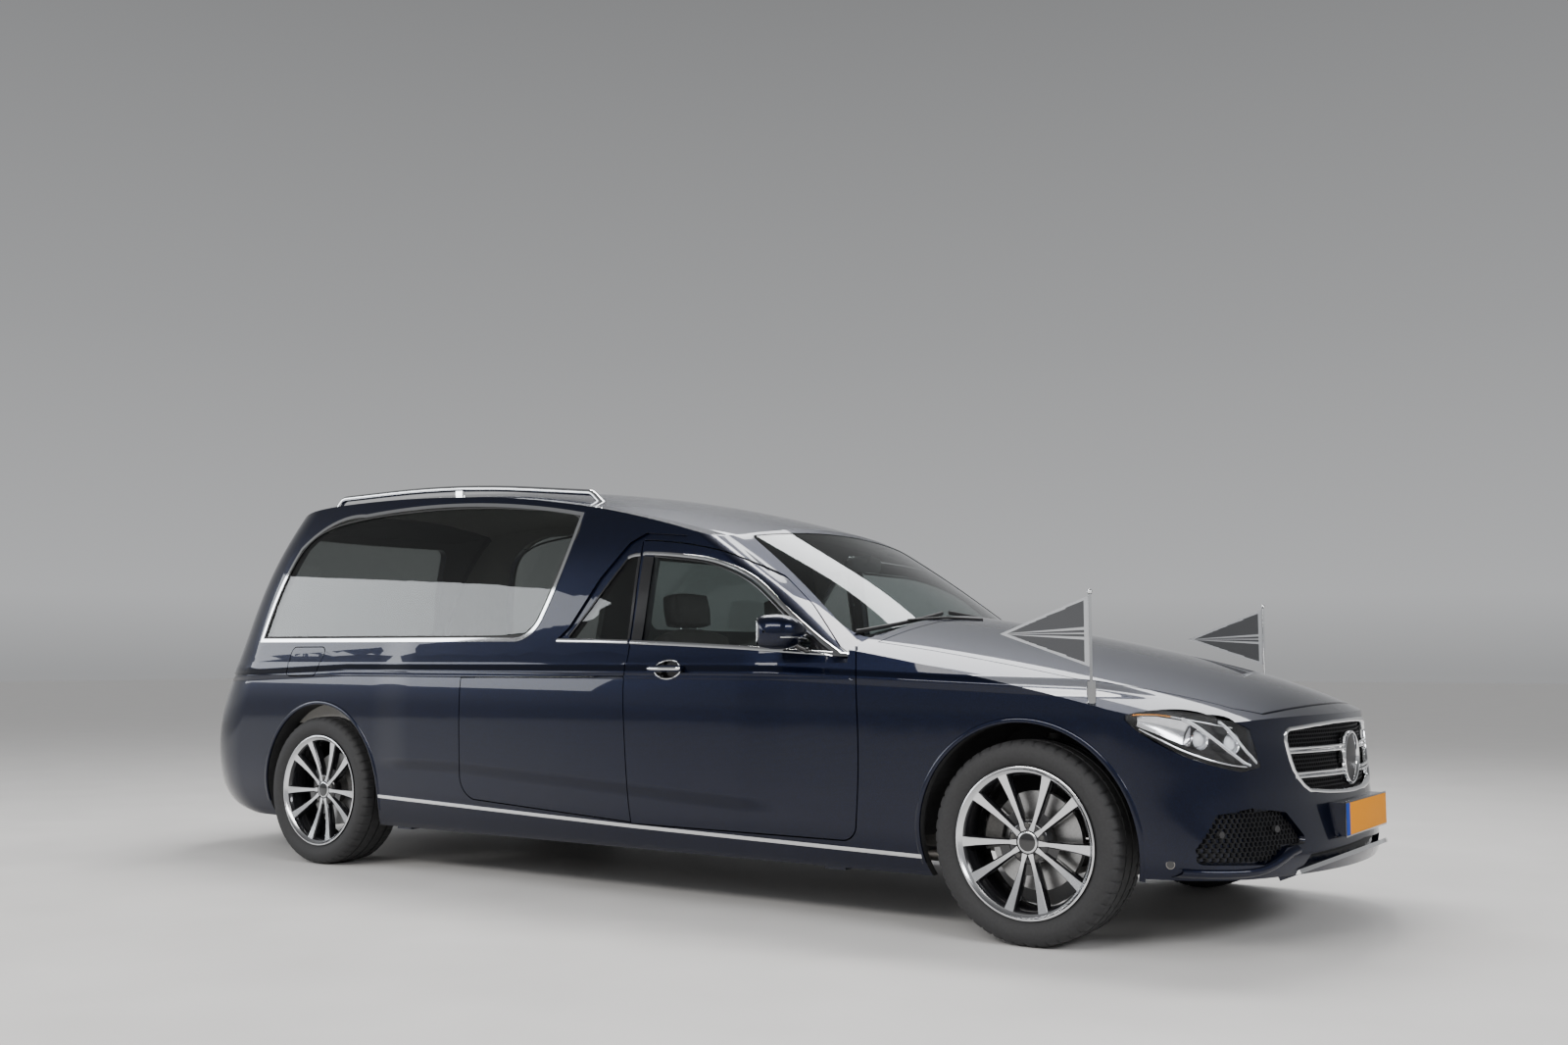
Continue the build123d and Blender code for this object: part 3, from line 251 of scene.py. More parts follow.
def plain(name, colour, rough, metallic=0.0, coat=0.0, grain=300.0, vary=0.25, relief=0.0, stretch=(1, 1, 1),
          specular=0.5):
    """A surface whose colour and roughness vary a little."""
    mat, tree, shader = material(name)
    grains = noise(tree, grain, stretch=stretch)
    low, high = tuple(c * (1 - vary) for c in colour), tuple(min(1, c * (1 + vary)) for c in colour)
    feed(tree, shader, {"Metallic": metallic, "Coat Weight": coat, "Coat Roughness": 0.03,
                        "Specular IOR Level": specular, "Base Color": ramp(tree, grains, (0.3, low), (0.7, high)),
                        "Roughness": ranged(tree, grains, 0.0, 1.0, rough * 0.85, rough * 1.15)})
    if relief:
        bump(tree, shader, grains, 0.5, relief)
    return mat


def car_paint():
    """Very dark blue metallic lacquer: fine flakes under a clear coat, dust low down, and the pressed body lines."""
    mat, tree, shader = material("paint_navy")

    def calc(kind, first, second=0.0):
        return add(tree, "Math", {0: first, 1: second}, operation=kind).outputs["Value"]

    where = place(tree)
    flakes = add(tree, "TexVoronoi", {"Vector": where, "Scale": 1400}).outputs["Color"]
    tint = ramp(tree, flakes, (0.0, (0.0006, 0.0013, 0.005)), (0.6, (0.0014, 0.0034, 0.015)),
                (1.0, (0.006, 0.016, 0.065)))
    split = add(tree, "SeparateXYZ", {"Vector": where})
    x, y, z = (split.outputs[k] for k in "XYZ")
    dust = calc("MULTIPLY", ranged(tree, z, 0.22, 0.6, 0.05, 0.0), noise(tree, 5, 8, 0.7))
    mix = add(tree, "Mix", {}, data_type="RGBA")
    feed(tree, mix, {"A": tint, "B": (0.14, 0.12, 0.10, 1), "Factor": dust})
    feed(tree, shader, {"Base Color": mix.outputs["Result"], "Metallic": 0.8, "Roughness": 0.36,
                        "Specular IOR Level": 0.25, "Coat Weight": 1.0, "Coat Roughness": 0.015, "Coat IOR": 1.36})
    on_flank = ranged(tree, calc("ABSOLUTE", y), 0.70, 0.80, smooth=True)
    # Shoulder line: a ridge over the length of the flank, falling towards the lamps
    fall = ranged(tree, calc("ABSOLUTE", calc("SUBTRACT", x, -0.3)), 1.2, 2.6)
    over = calc("SUBTRACT", z, calc("SUBTRACT", 0.893, calc("MULTIPLY", 0.052, fall)))
    ridge = ranged(tree, calc("ABSOLUTE", over), 0.0, 0.030, 1.0, 0.0, True)
    # Lower swage: deepest behind the front door and fading on it
    below = calc("SUBTRACT", z, ranged(tree, x, -0.73, 0.78, 0.492, 0.418))
    reach = ranged(tree, calc("ABSOLUTE", calc("SUBTRACT", x, -0.15)), 0.9, 1.15, 1.0, 0.0, True)
    swage = calc("MULTIPLY", ranged(tree, below, -0.045, 0.02, 0.0, 1.0, True), reach)
    height = calc("MULTIPLY", calc("ADD", calc("MULTIPLY", ridge, 0.6), swage), on_flank)
    feed(tree, shader, {"Coat Normal": bump(tree, shader, height, 1.0, 0.016)})
    return mat


def glazing(name, colour):
    """Thin clear or tinted glass: it hardly bends what lies behind it and mirrors as glass does by its coat."""
    mat, tree, shader = material(name)
    tint = ramp(tree, noise(tree, 3, 2), (0.3, tuple(c * 0.98 for c in colour)), (0.7, colour))
    feed(tree, shader, {"Base Color": tint, "Roughness": 0.0, "IOR": 1.03, "Transmission Weight": 1.0,
                        "Coat Weight": 1.0, "Coat Roughness": 0.0, "Coat IOR": 1.45})
    return mat


def leather(name):
    """Grained hide."""
    mat, tree, shader = material(name)
    grains = add(tree, "TexVoronoi", {"Vector": place(tree), "Scale": 260}).outputs["Distance"]
    feed(tree, shader, {"Base Color": ramp(tree, grains, (0.0, (0.035, 0.032, 0.03)), (0.5, (0.075, 0.07, 0.066))),
                        "Roughness": 0.5})
    bump(tree, shader, grains, 0.5, 0.0008)
    return mat


def weave(name, colour):
    """Woven cloth with a fine crossed thread."""
    mat, tree, shader = material(name)
    where = place(tree)
    waves = [add(tree, "TexWave", {"Vector": where, "Scale": 420, "Distortion": 0.6}, bands_direction=axis)
             for axis in "XZ"]
    threads = add(tree, "Math", {k: wave.outputs["Fac"] for k, wave in enumerate(waves)},
                  operation="MAXIMUM").outputs["Value"]
    feed(tree, shader, {"Base Color": ramp(tree, threads, (0.2, tuple(c * 0.6 for c in colour)), (0.9, colour)),
                        "Roughness": 0.8, "Sheen Weight": 0.3})
    bump(tree, shader, threads, 0.4, 0.0003)
    return mat


paint = car_paint()
chrome = plain("chrome_bright", (0.86, 0.87, 0.88), 0.05, 1.0, grain=6, vary=0.03)
satin = plain("satin_alloy", (0.62, 0.63, 0.64), 0.24, 1.0, grain=60, vary=0.06)
alloy_face = plain("alloy_machined", (0.74, 0.75, 0.77), 0.2, 1.0, 0.3, grain=180, vary=0.05, stretch=(1, 8, 1))
alloy_dark = plain("alloy_gloss_black", (0.012, 0.012, 0.014), 0.18, 0.3, 0.8, grain=40)
gloss_black = plain("gloss_black", (0.008, 0.008, 0.009), 0.1, 0.0, 0.8, grain=20)
black_plastic = plain("black_plastic", (0.018, 0.018, 0.019), 0.5, grain=900, relief=0.0003)
rubber = plain("rubber_tyre", (0.020, 0.020, 0.021), 0.72, grain=120, vary=0.3, relief=0.0004)
seal = plain("rubber_seal", (0.010, 0.010, 0.010), 0.6, grain=200)
trim_dark = plain("trim_dark", (0.028, 0.034, 0.033), 0.62, grain=600, relief=0.0003)
trim_pale = plain("lining_pale", (0.32, 0.31, 0.29), 0.75, grain=500, relief=0.0003)
under_black = plain("underbody_black", (0.022, 0.022, 0.023), 0.75, grain=70, relief=0.0008)
iron = plain("iron_dark", (0.085, 0.083, 0.08), 0.55, 0.6, grain=90, relief=0.0006)
steel_disc = plain("steel_disc", (0.42, 0.42, 0.42), 0.32, 1.0, grain=240, vary=0.12, stretch=(1, 6, 1))
steel_dull = plain("steel_dull", (0.30, 0.28, 0.26), 0.42, 0.9, grain=30, vary=0.25)
deck_steel = plain("deck_steel", (0.62, 0.62, 0.62), 0.28, 1.0, grain=40, vary=0.08, stretch=(0.3, 12, 1))
wood = plain("wood_dark", (0.10, 0.045, 0.022), 0.3, 0.0, 0.6, grain=14, vary=0.5, stretch=(0.4, 6, 6))
window_glass = glazing("window_glass", (0.54, 0.59, 0.58))
dark_glass = glazing("window_glass_dark", (0.36, 0.38, 0.37))
lens_clear = glazing("lens_clear", (0.97, 0.98, 0.99))
lens_red = glazing("lens_red", (0.62, 0.012, 0.015))
lens_amber = glazing("lens_amber", (0.9, 0.35, 0.03))
mirror_glass = plain("mirror_glass", (0.9, 0.91, 0.92), 0.02, 1.0, grain=3, vary=0.01)
hide = leather("leather_black")
cloth_dark = weave("cloth_charcoal", (0.055, 0.057, 0.062))
cloth_silver = weave("cloth_silver", (0.42, 0.43, 0.45))
plate_amber = plain("plate_amber", (0.66, 0.235, 0.003), 0.6, grain=400, vary=0.05, specular=0.1)
plate_blue = plain("plate_blue", (0.01, 0.045, 0.30), 0.6, grain=400, vary=0.05, specular=0.1)
reflector_red = plain("reflector_red", (0.36, 0.008, 0.006), 0.22, coat=0.6)
lamp_silver = plain("lamp_silver", (0.8, 0.8, 0.82), 0.15, 1.0, grain=50, vary=0.04)
net_black = plain("net_black", (0.005, 0.005, 0.006), 0.4, grain=40, specular=0.25)
guide_white = plain("guide_white", (0.85, 0.87, 0.9), 0.25, grain=30, vary=0.03)


# Building pieces. Sizes are millimetres here and metres in the meshes. A part is a list of points and a list of faces.
hands = (("right", -1), ("left", 1))
far_depth = 1e9


def turns(count):
    """Equal steps of a full turn."""
    return [2 * math.pi * k / count for k in range(count)]


def merged(*parts):
    """Several parts as one."""
    verts, faces = [], []
    for some, quads, *_ in parts:
        base = len(verts)
        verts += list(some)
        faces += [tuple(i + base for i in face) for face in quads]
    return verts, faces


def piece(name, body, slot, angle, *groups):
    """A mesh that rides on a CAD body. Each group is a finish and the parts that have it, and a part that has a
    third list has a finish for each face."""
    parts = [part for group in groups for part in group[1:]]
    finishes = []
    for mat, *some in groups:
        for part in some:
            finishes += part[2] if len(part) > 2 else [mat] * len(part[1])
    verts, faces = merged(*parts)
    mesh = bpy.data.meshes.new(name)
    mesh.from_pydata([tuple(c / 1000 for c in v) for v in verts], [], faces)
    number = {mat: k for k, mat in enumerate(dict.fromkeys(finishes))}
    for mat in number:
        mesh.materials.append(mat)
    mesh.polygons.foreach_set("material_index", np.array([number[mat] for mat in finishes], np.int32))
    work = bmesh.new()
    work.from_mesh(mesh)
    bmesh.ops.recalc_face_normals(work, faces=work.faces)
    work.to_mesh(mesh)
    work.free()
    mesh.shade_smooth()
    mesh.set_sharp_from_angle(angle=math.radians(angle))
    made = bpy.data.objects.new(name, mesh)
    bpy.context.scene.collection.objects.link(made)
    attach(made, body)
    return made


def grid(rows, closed_u=False, closed_v=False):
    """Quads through a rectangular array of points, the rows running one way and their points the other."""
    n, m = len(rows), len(rows[0])
    faces = []
    for i in range(n if closed_u else n - 1):
        for j in range(m if closed_v else m - 1):
            ahead, beside = (i + 1) % n * m, (j + 1) % m
            faces.append((i * m + j, i * m + beside, ahead + beside, ahead + j))
    return [p for row in rows for p in row], faces


def edge_of(rows):
    """The points round the edge of an array of rows."""
    return list(rows[0]) + [row[-1] for row in rows[1:]] + list(rows[-1][-2::-1]) + [row[0] for row in rows[-2:0:-1]]


def shell(outer, inner):
    """A closed thin solid between two equal arrays of points."""
    n, m = len(outer), len(outer[0])
    verts, faces = grid(outer)
    base = n * m
    faces += [tuple(base + i for i in reversed(face)) for face in faces]
    rim = edge_of([[i * m + j for j in range(m)] for i in range(n)])
    faces += [(b, a, base + a, base + b) for a, b in zip(rim, rim[1:] + rim[:1])]
    return verts + [p for row in inner for p in row], faces


def skin(point, us, vs, outer, inner):
    """A closed thin solid between two depths of a surface, given as point(u, v, depth)."""
    return shell(*([[point(u, v, depth) for v in vs] for u in us] for depth in (outer, inner)))


def rounds(point, profile, sides):
    """A surface of rounds, given as point(along, across, up) and a profile of (along, radius)."""
    return grid([[point(out, r * math.cos(t), r * math.sin(t)) for t in turns(sides)] for out, r in profile],
                closed_v=True)


def tube(path, radius, sides, flat=1.0, closed=False, up=(0, 0, 1)):
    """A tube along points, round or flattened."""
    path = [Vector(p) for p in path]
    n = len(path)
    rows = []
    for i, p in enumerate(path):
        ahead = path[(i + 1) % n] if closed or i < n - 1 else p
        behind = path[i - 1] if closed or i > 0 else p
        along = (ahead - behind).normalized()
        across = along.cross(Vector(up))
        if across.length < 1e-6:
            across = along.cross(Vector((1, 0, 0)))
        across.normalize()
        high = across.cross(along)
        size = radius[i] if isinstance(radius, (list, tuple)) else radius
        rows.append([tuple(p + across * (size * math.cos(t)) + high * (size * flat * math.sin(t)))
                     for t in turns(sides)])
    verts, faces = grid(rows, closed_u=closed, closed_v=True)
    if not closed:
        faces += [tuple(range(sides)), tuple((n - 1) * sides + k for k in reversed(range(sides)))]
    return verts, faces


def lathe(profile, centre, axis_sign, steps):
    """A profile of (distance along the axle outwards, radius) turned about a wheel's axle."""
    return grid([[(centre[0] + r * math.sin(t), centre[1] + axis_sign * a, centre[2] + r * math.cos(t))
                  for a, r in profile] for t in turns(steps)], closed_u=True)


def block(low, high, bevel=0.0):
    """A box between two corners, its edges cut by a small bevel."""
    work = bmesh.new()
    bmesh.ops.create_cube(work, size=1)
    for v in work.verts:
        v.co = Vector([(a + b) / 2 + c * (b - a) for a, b, c in zip(low, high, v.co)])
    if bevel:
        bmesh.ops.bevel(work, geom=list(work.edges), offset=bevel, segments=3, affect="EDGES", profile=0.5)
    work.verts.ensure_lookup_table()
    verts, faces = [tuple(v.co) for v in work.verts], [tuple(v.index for v in f.verts) for f in work.faces]
    work.free()
    return verts, faces


def smooth_line(points, steps):
    """A curve through points, by Catmull-Rom."""
    pts = [np.array(p, float) for p in points]
    pts = [2 * pts[0] - pts[1]] + pts + [2 * pts[-1] - pts[-2]]
    out = []
    for p0, p1, p2, p3 in zip(pts, pts[1:], pts[2:], pts[3:]):
        for t in (k / steps for k in range(steps)):
            out.append(tuple(0.5 * (2 * p1 + (p2 - p0) * t + (2 * p0 - 5 * p1 + 4 * p2 - p3) * t ** 2
                                    + (3 * p1 - p0 - 3 * p2 + p3) * t ** 3)))
    return out + [tuple(pts[-2])]


def resampled(points, step):
    """The same line with points about a step apart."""
    out = [np.array(points[0], float)]
    for a, b in zip(points, points[1:]):
        a, b = np.array(a, float), np.array(b, float)
        n = max(1, int(round(np.linalg.norm(b - a) / step)))
        out += [a + (b - a) * k / n for k in range(1, n + 1)]
    return [tuple(p) for p in out]


def offset_dirs(along):
    """Unit vectors square to the directions of a flat line."""
    along = along / np.linalg.norm(along, axis=1)[:, None]
    return np.stack([-along[:, 1], along[:, 0]], 1)


def band(line, point, half, section, step):
    """A band along a flat line laid on a surface. section lists (share of its half width, lift)."""
    pts = np.array(resampled(smooth_line(line, 6), step))
    across = offset_dirs(np.gradient(pts, axis=0))
    return grid([[point(*(p + a * s * half), -lift) for p, a in zip(pts, across)] for s, lift in section])


def on_side(x, z, inset, side):
    """The point of the car's side at a station and height, over or under the shoulder."""
    fit = lower_side if z < shoulder else cabin_side
    return (float(x), side * float(fit(x, z, inset)[0]), float(z))


def on_nose(y, z, inset=0.0):
    return (float(nose(y, z, inset)[0]), float(y), float(z))


def on_tail(y, z, inset=0.0):
    return (float(tail(y, z, inset)[0]), float(y), float(z))


# Smooth normals and finishes for the CAD panels
def skin_fit(points, towards, family):
    """Which smooth outer surface each face lies on, as its depth in millimetres and its normal.

    points are in millimetres and towards are the face normals. family says which surfaces may serve: body, nose,
    side, screen or gate."""
    x, y, z = points.T
    side = np.where(y < 0, -1.0, 1.0)
    best = np.full(len(points), far_depth)
    normal = np.zeros((len(points), 3))
    step, off_skin, steepest = 2.0, 500, 2.5
    low_z, high_z = np.clip(z, 160, 1150), np.clip(z, 865, 1955)
    share = np.clip((z - shoulder) / 50 + 0.5, 0, 1)
    share = share * share * (3 - 2 * share)

    def slopes(fit, u, v):
        return fit(u, v), (fit(u + step, v) - fit(u - step, v)) / (2 * step), \
            (fit(u, v + step) - fit(u, v - step)) / (2 * step)

    def blended(low, high, u):
        """Two surfaces that meet at the shoulder, their slopes run into each other."""
        h0, a0, b0 = slopes(low, u, low_z)
        h1, a1, b1 = slopes(high, u, high_z)
        return np.where(z < shoulder, h0, h1), a0 + (a1 - a0) * share, b0 + (b1 - b0) * share

    def offer(gap, grad, allowed):
        size = np.linalg.norm(grad, axis=1)
        size[size == 0] = 1
        depth = gap / size
        grad = grad / size[:, None]
        aligned = np.abs((grad * towards).sum(1)) > 0.9
        take = allowed & (np.abs(depth) + np.where(aligned, 0, off_skin) < np.abs(best))
        best[take] = np.where(aligned[take], depth[take], far_depth)
        normal[take] = grad[take]

    def offer_side(h, gx, gz, allowed=True):
        offer(h - np.abs(y), np.stack([-gx, side, -gz], 1), (np.abs(gx) < steepest) & (h > 5) & allowed)

    def offer_end(h, gy, gz, ahead, allowed):
        gy = gy * side
        offer(ahead * (h - x), np.stack([np.full(len(x), ahead * 1.0), -ahead * gy, -ahead * gz], 1),
              (np.abs(gy) < steepest) & (np.abs(y) < 900) & allowed)

    def offer_top(fit):
        h, gx, gy = slopes(fit, x, y)
        offer(h - z, np.stack([-gx, -gy, np.ones(len(x))], 1), z > 600)

    if family == "body":
        offer_side(*blended(lower_side, cabin_side, x))
        offer_side(*slopes(lower_side, x, low_z), x > 1255)
        offer_end(*blended(tail, gate_x, np.abs(y)), -1, x < -1500)
    if family == "nose":
        offer_side(*slopes(lower_side, x, low_z))
        offer_end(*slopes(nose, np.abs(y), low_z), 1, x > 1500)
        offer_top(bonnet_top)
    if family == "side":
        offer_side(*slopes(cabin_side, x, high_z))
    if family in ("body", "screen"):
        offer_end(*slopes(screen_x, np.abs(y), high_z), 1, (x > 200) & (z > 900))
    if family == "gate":
        offer_end(*slopes(gate_x, np.abs(y), high_z), -1, x < -1500)
    if family == "body":
        offer_top(roof)
    return best, normal


def read(items, what, width=1, kind=float):
    """One attribute of a mesh's items as an array."""
    out = np.zeros(len(items) * width, kind)
    items.foreach_get(what, out)
    return out.reshape(-1, width) if width > 1 else out


def dress(name, finishes, tolerance=1.5, family="body", both=False):
    """Gives a CAD panel exact smooth normals where it follows the outer skin, and a finish by depth.

    finishes is a list of (greatest depth in millimetres, material). both smooths a pane's inner face too."""
    mesh = nodes[name].data
    mesh.materials.clear()
    for _, mat in finishes:
        mesh.materials.append(mat)
    faces = mesh.polygons
    towards = read(faces, "normal", 3)
    depth, normal = skin_fit(read(faces, "center", 3) * 1000, towards, family)
    along = (normal * towards).sum(1)
    outside = (np.abs(depth) < tolerance) & ((np.abs(along) if both else along) > 0.9)
    index = np.zeros(len(faces), np.int32)
    for k, (limit, _) in enumerate(finishes[:-1]):
        index[(np.abs(depth) < far_depth) & (along < 0) & (depth > limit)] = k + 1
    faces.foreach_set("material_index", index)
    faces.foreach_set("use_smooth", np.ones(len(faces), bool))
    owner = np.repeat(np.arange(len(faces)), read(faces, "loop_total", kind=np.int32))
    corners = (read(mesh.vertices, "co", 3) * 1000)[read(mesh.loops, "vertex_index", kind=np.int32)]
    depth, normal = skin_fit(corners, towards[owner], family)
    match = (normal * towards[owner]).sum(1)
    fine = outside[owner] & (np.abs(depth) < tolerance + 1.5) & ((np.abs(match) if both else match) > 0.85)
    final = np.where(fine[:, None], normal * np.sign(match)[:, None], towards[owner])
    mesh.normals_split_custom_set([tuple(v) for v in final])


def finish_node(name, mat):
    """A plain finish for a CAD node."""
    mesh = nodes[name].data
    mesh.materials.clear()
    mesh.materials.append(mat)
    mesh.shade_smooth()
    mesh.set_sharp_from_angle(angle=math.radians(35))


def assign(name, mat, test):
    """Gives the faces of a CAD node that pass a test on centre (mm) and normal another finish."""
    mesh = nodes[name].data
    mesh.materials.append(mat)
    for face in mesh.polygons:
        if test(*(face.center * 1000), face.normal):
            face.material_index = len(mesh.materials) - 1


# The CAD panels
front_axle, rear_axle, hub_z = 1932, -1668, 338
arch_reach, arch_inner = 426, 440
blade_lean, blade_x, blade_z, blade_half = math.radians(23), 2828, 318, 502


def in_arch(x, y, z, n):
    """A face of a wheelhouse or of an arch's cut edge."""
    near = min(math.hypot(x - front_axle, z - hub_z), math.hypot(x - rear_axle, z - hub_z))
    if near > arch_reach or abs(y) < arch_inner:
        return False
    off = min(abs(abs(y) - float(lower_side(x, z)[0])), abs(x - float(nose(y, z)[0])), abs(x - float(tail(y, z)[0])))
    return abs(n.y) < 0.25 or off > 5


def on_blade(x, y, z, n):
    """A face of the bright blade under the nose."""
    across, up = -math.sin(blade_lean), math.cos(blade_lean)
    if x < 2550 or abs(y) > blade_half or z > 332 or not -15 < across * (x - blade_x) + up * (z - blade_z) < 1:
        return False
    return abs(across * n.x + up * n.z) > 0.95 or x > float(nose(y, z)[0]) + 2


def in_slot(x, y, z, n):
    """A face of the dark slot between the bumper and its blade."""
    return x > 2500 and abs(y) < blade_half + 4 and 296 < z < 354 and x < float(nose(y, z)[0]) - 3 \
        and not on_blade(x, y, z, n)


# Node, depth of the lacquer, finish behind it, family of surfaces
for name, depth, mat, family in (
        ("body_shell", 20, trim_pale, "body"), ("roof_panel", 20, trim_pale, "body"),
        ("front_body", 20, under_black, "nose"), ("bonnet", 15, under_black, "nose"),
        ("fuel_flap", 15, black_plastic, "body"), ("door_right", 20, trim_dark, "body"),
        ("hatch_right", 20, trim_dark, "body"), ("door_left", 20, trim_dark, "body"),
        ("hatch_left", 20, trim_dark, "body"), ("tailgate", 20, trim_dark, "body"),
        ("front_bumper", 20, black_plastic, "nose"), ("rear_bumper", 20, black_plastic, "body")):
    dress(name, [(depth, paint), (far_depth, mat)], family=family)
for name in ("body_shell", "front_body", "front_bumper", "rear_bumper"):
    assign(name, under_black, in_arch)
assign("front_bumper", chrome, on_blade)
assign("front_bumper", black_plastic, in_slot)
for name, mat, family in (("windscreen", window_glass, "screen"), ("door_glass_right", window_glass, "side"),
                          ("door_glass_left", window_glass, "side"), ("side_windows", dark_glass, "side"),
                          ("tailgate_glass", dark_glass, "gate")):
    dress(name, [(far_depth, mat)], 14, family, both=True)
dress("sill_trims", [(far_depth, chrome)], 6)
for name, mat in (("window_trims", chrome), ("floor_pan", under_black), ("coffin_deck", deck_steel),
                  ("partition", trim_dark), ("dashboard", trim_dark), ("engine", iron), ("front_subframe", iron),
                  ("rear_axle", iron), ("knuckle_right", iron), ("knuckle_left", iron), ("exhaust", steel_dull),
                  ("interior_mirror", gloss_black), ("flag_poles", chrome), ("roof_rails", chrome)):
    finish_node(name, mat)
dress("window_trims", [(far_depth, chrome)], 6, "side")


# Tyres and rims
def tyre_mesh(centre, sign):
    """A road tyre: bulged side walls, rounded shoulders, three grooves, shoulder blocks and fine sipes."""
    radius, tread_half, groove_deep, steps = 338, 95, 7.5, 300
    wall = [(-97, 240), (-97, 252), (-106, 262), (-114, 276), (-118, 294), (-116, 308), (-111, 320), (-104, 329)]
    outer_half = [12, 24, 36, 46.5, 47, 57, 57.5, 66, 76, 86, tread_half]
    tread = []
    for a in [-a for a in reversed(outer_half)] + [-5.5, -5, 5, 5.5] + outer_half:
        groove = abs(a) < 5.2 or 46.5 < abs(a) < 57.5
        tread.append((a, radius - 3.4 * (a / tread_half) ** 4 - (groove_deep if groove else 0)))
    rows = []
    for k, t in enumerate(turns(steps)):
        row = []
        for a, r in wall + tread + [(-a, r) for a, r in reversed(wall)]:
            if abs(a) > 62 and r > 325 and k % 6 == 0:
                r -= 5.0
            elif 12 <= abs(a) <= 46.5 and r > 336 and (k + int(abs(a) / 12)) % 6 == 3:
                r -= 3.0
            row.append((centre[0] + r * math.sin(t), centre[1] + sign * a, centre[2] + r * math.cos(t)))
        rows.append(row)
    return grid(rows, closed_u=True, closed_v=True)


def spoke_mesh(spot):
    """One spoke: a narrow machined face on a deep black body, dished between hub and rim."""
    rows = []
    # Columns: radius, width, height of the face, depth
    for r, w, a, deep in ((40, 22, 74, 26), (70, 15, 73, 30), (100, 17, 74, 34), (140, 21, 78, 36),
                          (180, 26, 84, 36), (210, 31, 90, 34), (236, 37, 95, 30)):
        section = [(-w / 2 + 1.5, a), (w / 2 - 1.5, a), (w / 2, a - 1.5), (w / 2 + 4, a - 9), (w / 2 + 2, a - deep),
                   (-w / 2 - 2, a - deep), (-w / 2 - 4, a - 9), (-w / 2, a - 1.5)]
        rows.append([spot(t, r, out) for t, out in section])
    verts, faces = grid(rows, closed_v=True)
    return verts, faces, [alloy_dark if i % 8 else alloy_face for i in range(len(faces))]


def rim_piece(name, centre, sign, body, node):
    """A whole alloy wheel: barrel, bright edge, five pairs of spokes, hub, bolts and plain cap, with its brake disc."""
    def turned_to(turn):
        """Points of the wheel in axes turned with a spoke: across it, outwards along it and along the axle."""
        c, s = math.cos(turn), math.sin(turn)
        return lambda t, r, a: (centre[0] + t * c + r * s, centre[1] + sign * a, centre[2] - t * s + r * c)

    def round_part(steps, *profile):
        return lathe(profile, centre, sign, steps)

    pairs = [math.radians(36 + 72 * pair) for pair in range(5)]
    spokes = [spoke_mesh(turned_to(turn + math.radians(lean))) for turn in pairs for lean in (-15.5, 15.5)]
    webs = [grid([[turned_to(turn)(t, r, a) for t in (-half, 0, half)] for r, half, a in ((44, 9, 66), (80, 20, 63),
                                                                                         (110, 27, 62))])
            for turn in pairs]
    bolts = [lathe([(60, 9.5), (74, 9.5), (76, 7.5), (76, 0.1)], turned_to(math.radians(72 * k))(0, 56, 0), sign, 6)
             for k in range(5)]
    vanes = [tube([turned_to(turn)(0, 88, -14), turned_to(turn + 0.12)(0, 162, -14)], 3.6, 4) for turn in turns(48)]
    valve = turned_to(2.2)
    made = piece(
        name, body, "alloy", 40,
        (alloy_dark, round_part(120, (-107, 252), (-107, 244), (-96, 231), (-60, 226), (-20, 216), (40, 216),
                                (70, 222), (88, 226), (94, 232))),
        (alloy_face, round_part(120, (94, 232), (98, 238), (103, 243), (107, 246), (107.5, 249), (106, 252))),
        (alloy_dark, round_part(120, (106, 252), (98, 252), (96, 240), (-96, 240), (-98, 252), (-107, 252)),
         *spokes, *webs, round_part(60, (30, 74), (66, 72), (72, 66), (73, 58), (70, 47), (69, 40), (69, 37))),
        (alloy_face, round_part(60, (69, 37), (74, 36), (76, 33), (76, 30))),
        (gloss_black, round_part(48, (76, 30), (77.5, 20), (78.5, 8), (78.5, 0.1))),
        (iron, *bolts),
        (steel_disc, round_part(96, (0, 74), (0, 165), (-10, 165), (-10, 84), (-18, 84), (-18, 165), (-28, 165),
                                (-28, 74)), *vanes),
        (iron, round_part(60, (0, 74), (6, 72), (30, 72), (34, 70))),
        (gloss_black, tube([valve(0, 226, 72), valve(0, 212, 84)], 4, 8)))
    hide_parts(node)


for end, x, track in (("front", front_axle, 802.5), ("rear", rear_axle, 809.5)):
    for hand, side in hands:
        centre = (x, side * track, hub_z)
        which = end + "_" + hand
        made = piece("tyre_" + which + "_tread", "wheel_" + which, "tyre", 28, (rubber, tyre_mesh(centre, side)))
        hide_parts("tyre_" + which)
        rim_piece("alloy_" + which, centre, side, "wheel_" + which, "rim_" + which)


# Headlamps
lamp_high = [(2296, 763), (2322, 773), (2378, 782), (2440, 776), (2499, 765), (2577, 744), (2609, 717), (2631, 600)]
lamp_low = [(2296, 751), (2330, 717), (2386, 684), (2459, 639), (2516, 612), (2560, 595), (2598, 585), (2631, 597)]
lamp_x = [2297, 2304, 2314, 2330, 2350, 2378, 2408, 2440, 2470, 2499, 2525, 2550, 2577, 2594, 2608, 2614, 2620, 2626,
          2630]
lamp_shares = [k / 14 for k in range(15)]


def shrunk(rows, share):
    """The same patch drawn in towards its middle."""
    mid = np.mean([p for row in rows for p in row], axis=0)
    return [[tuple(np.array(p) + (mid - np.array(p)) * share) for p in row] for row in rows]


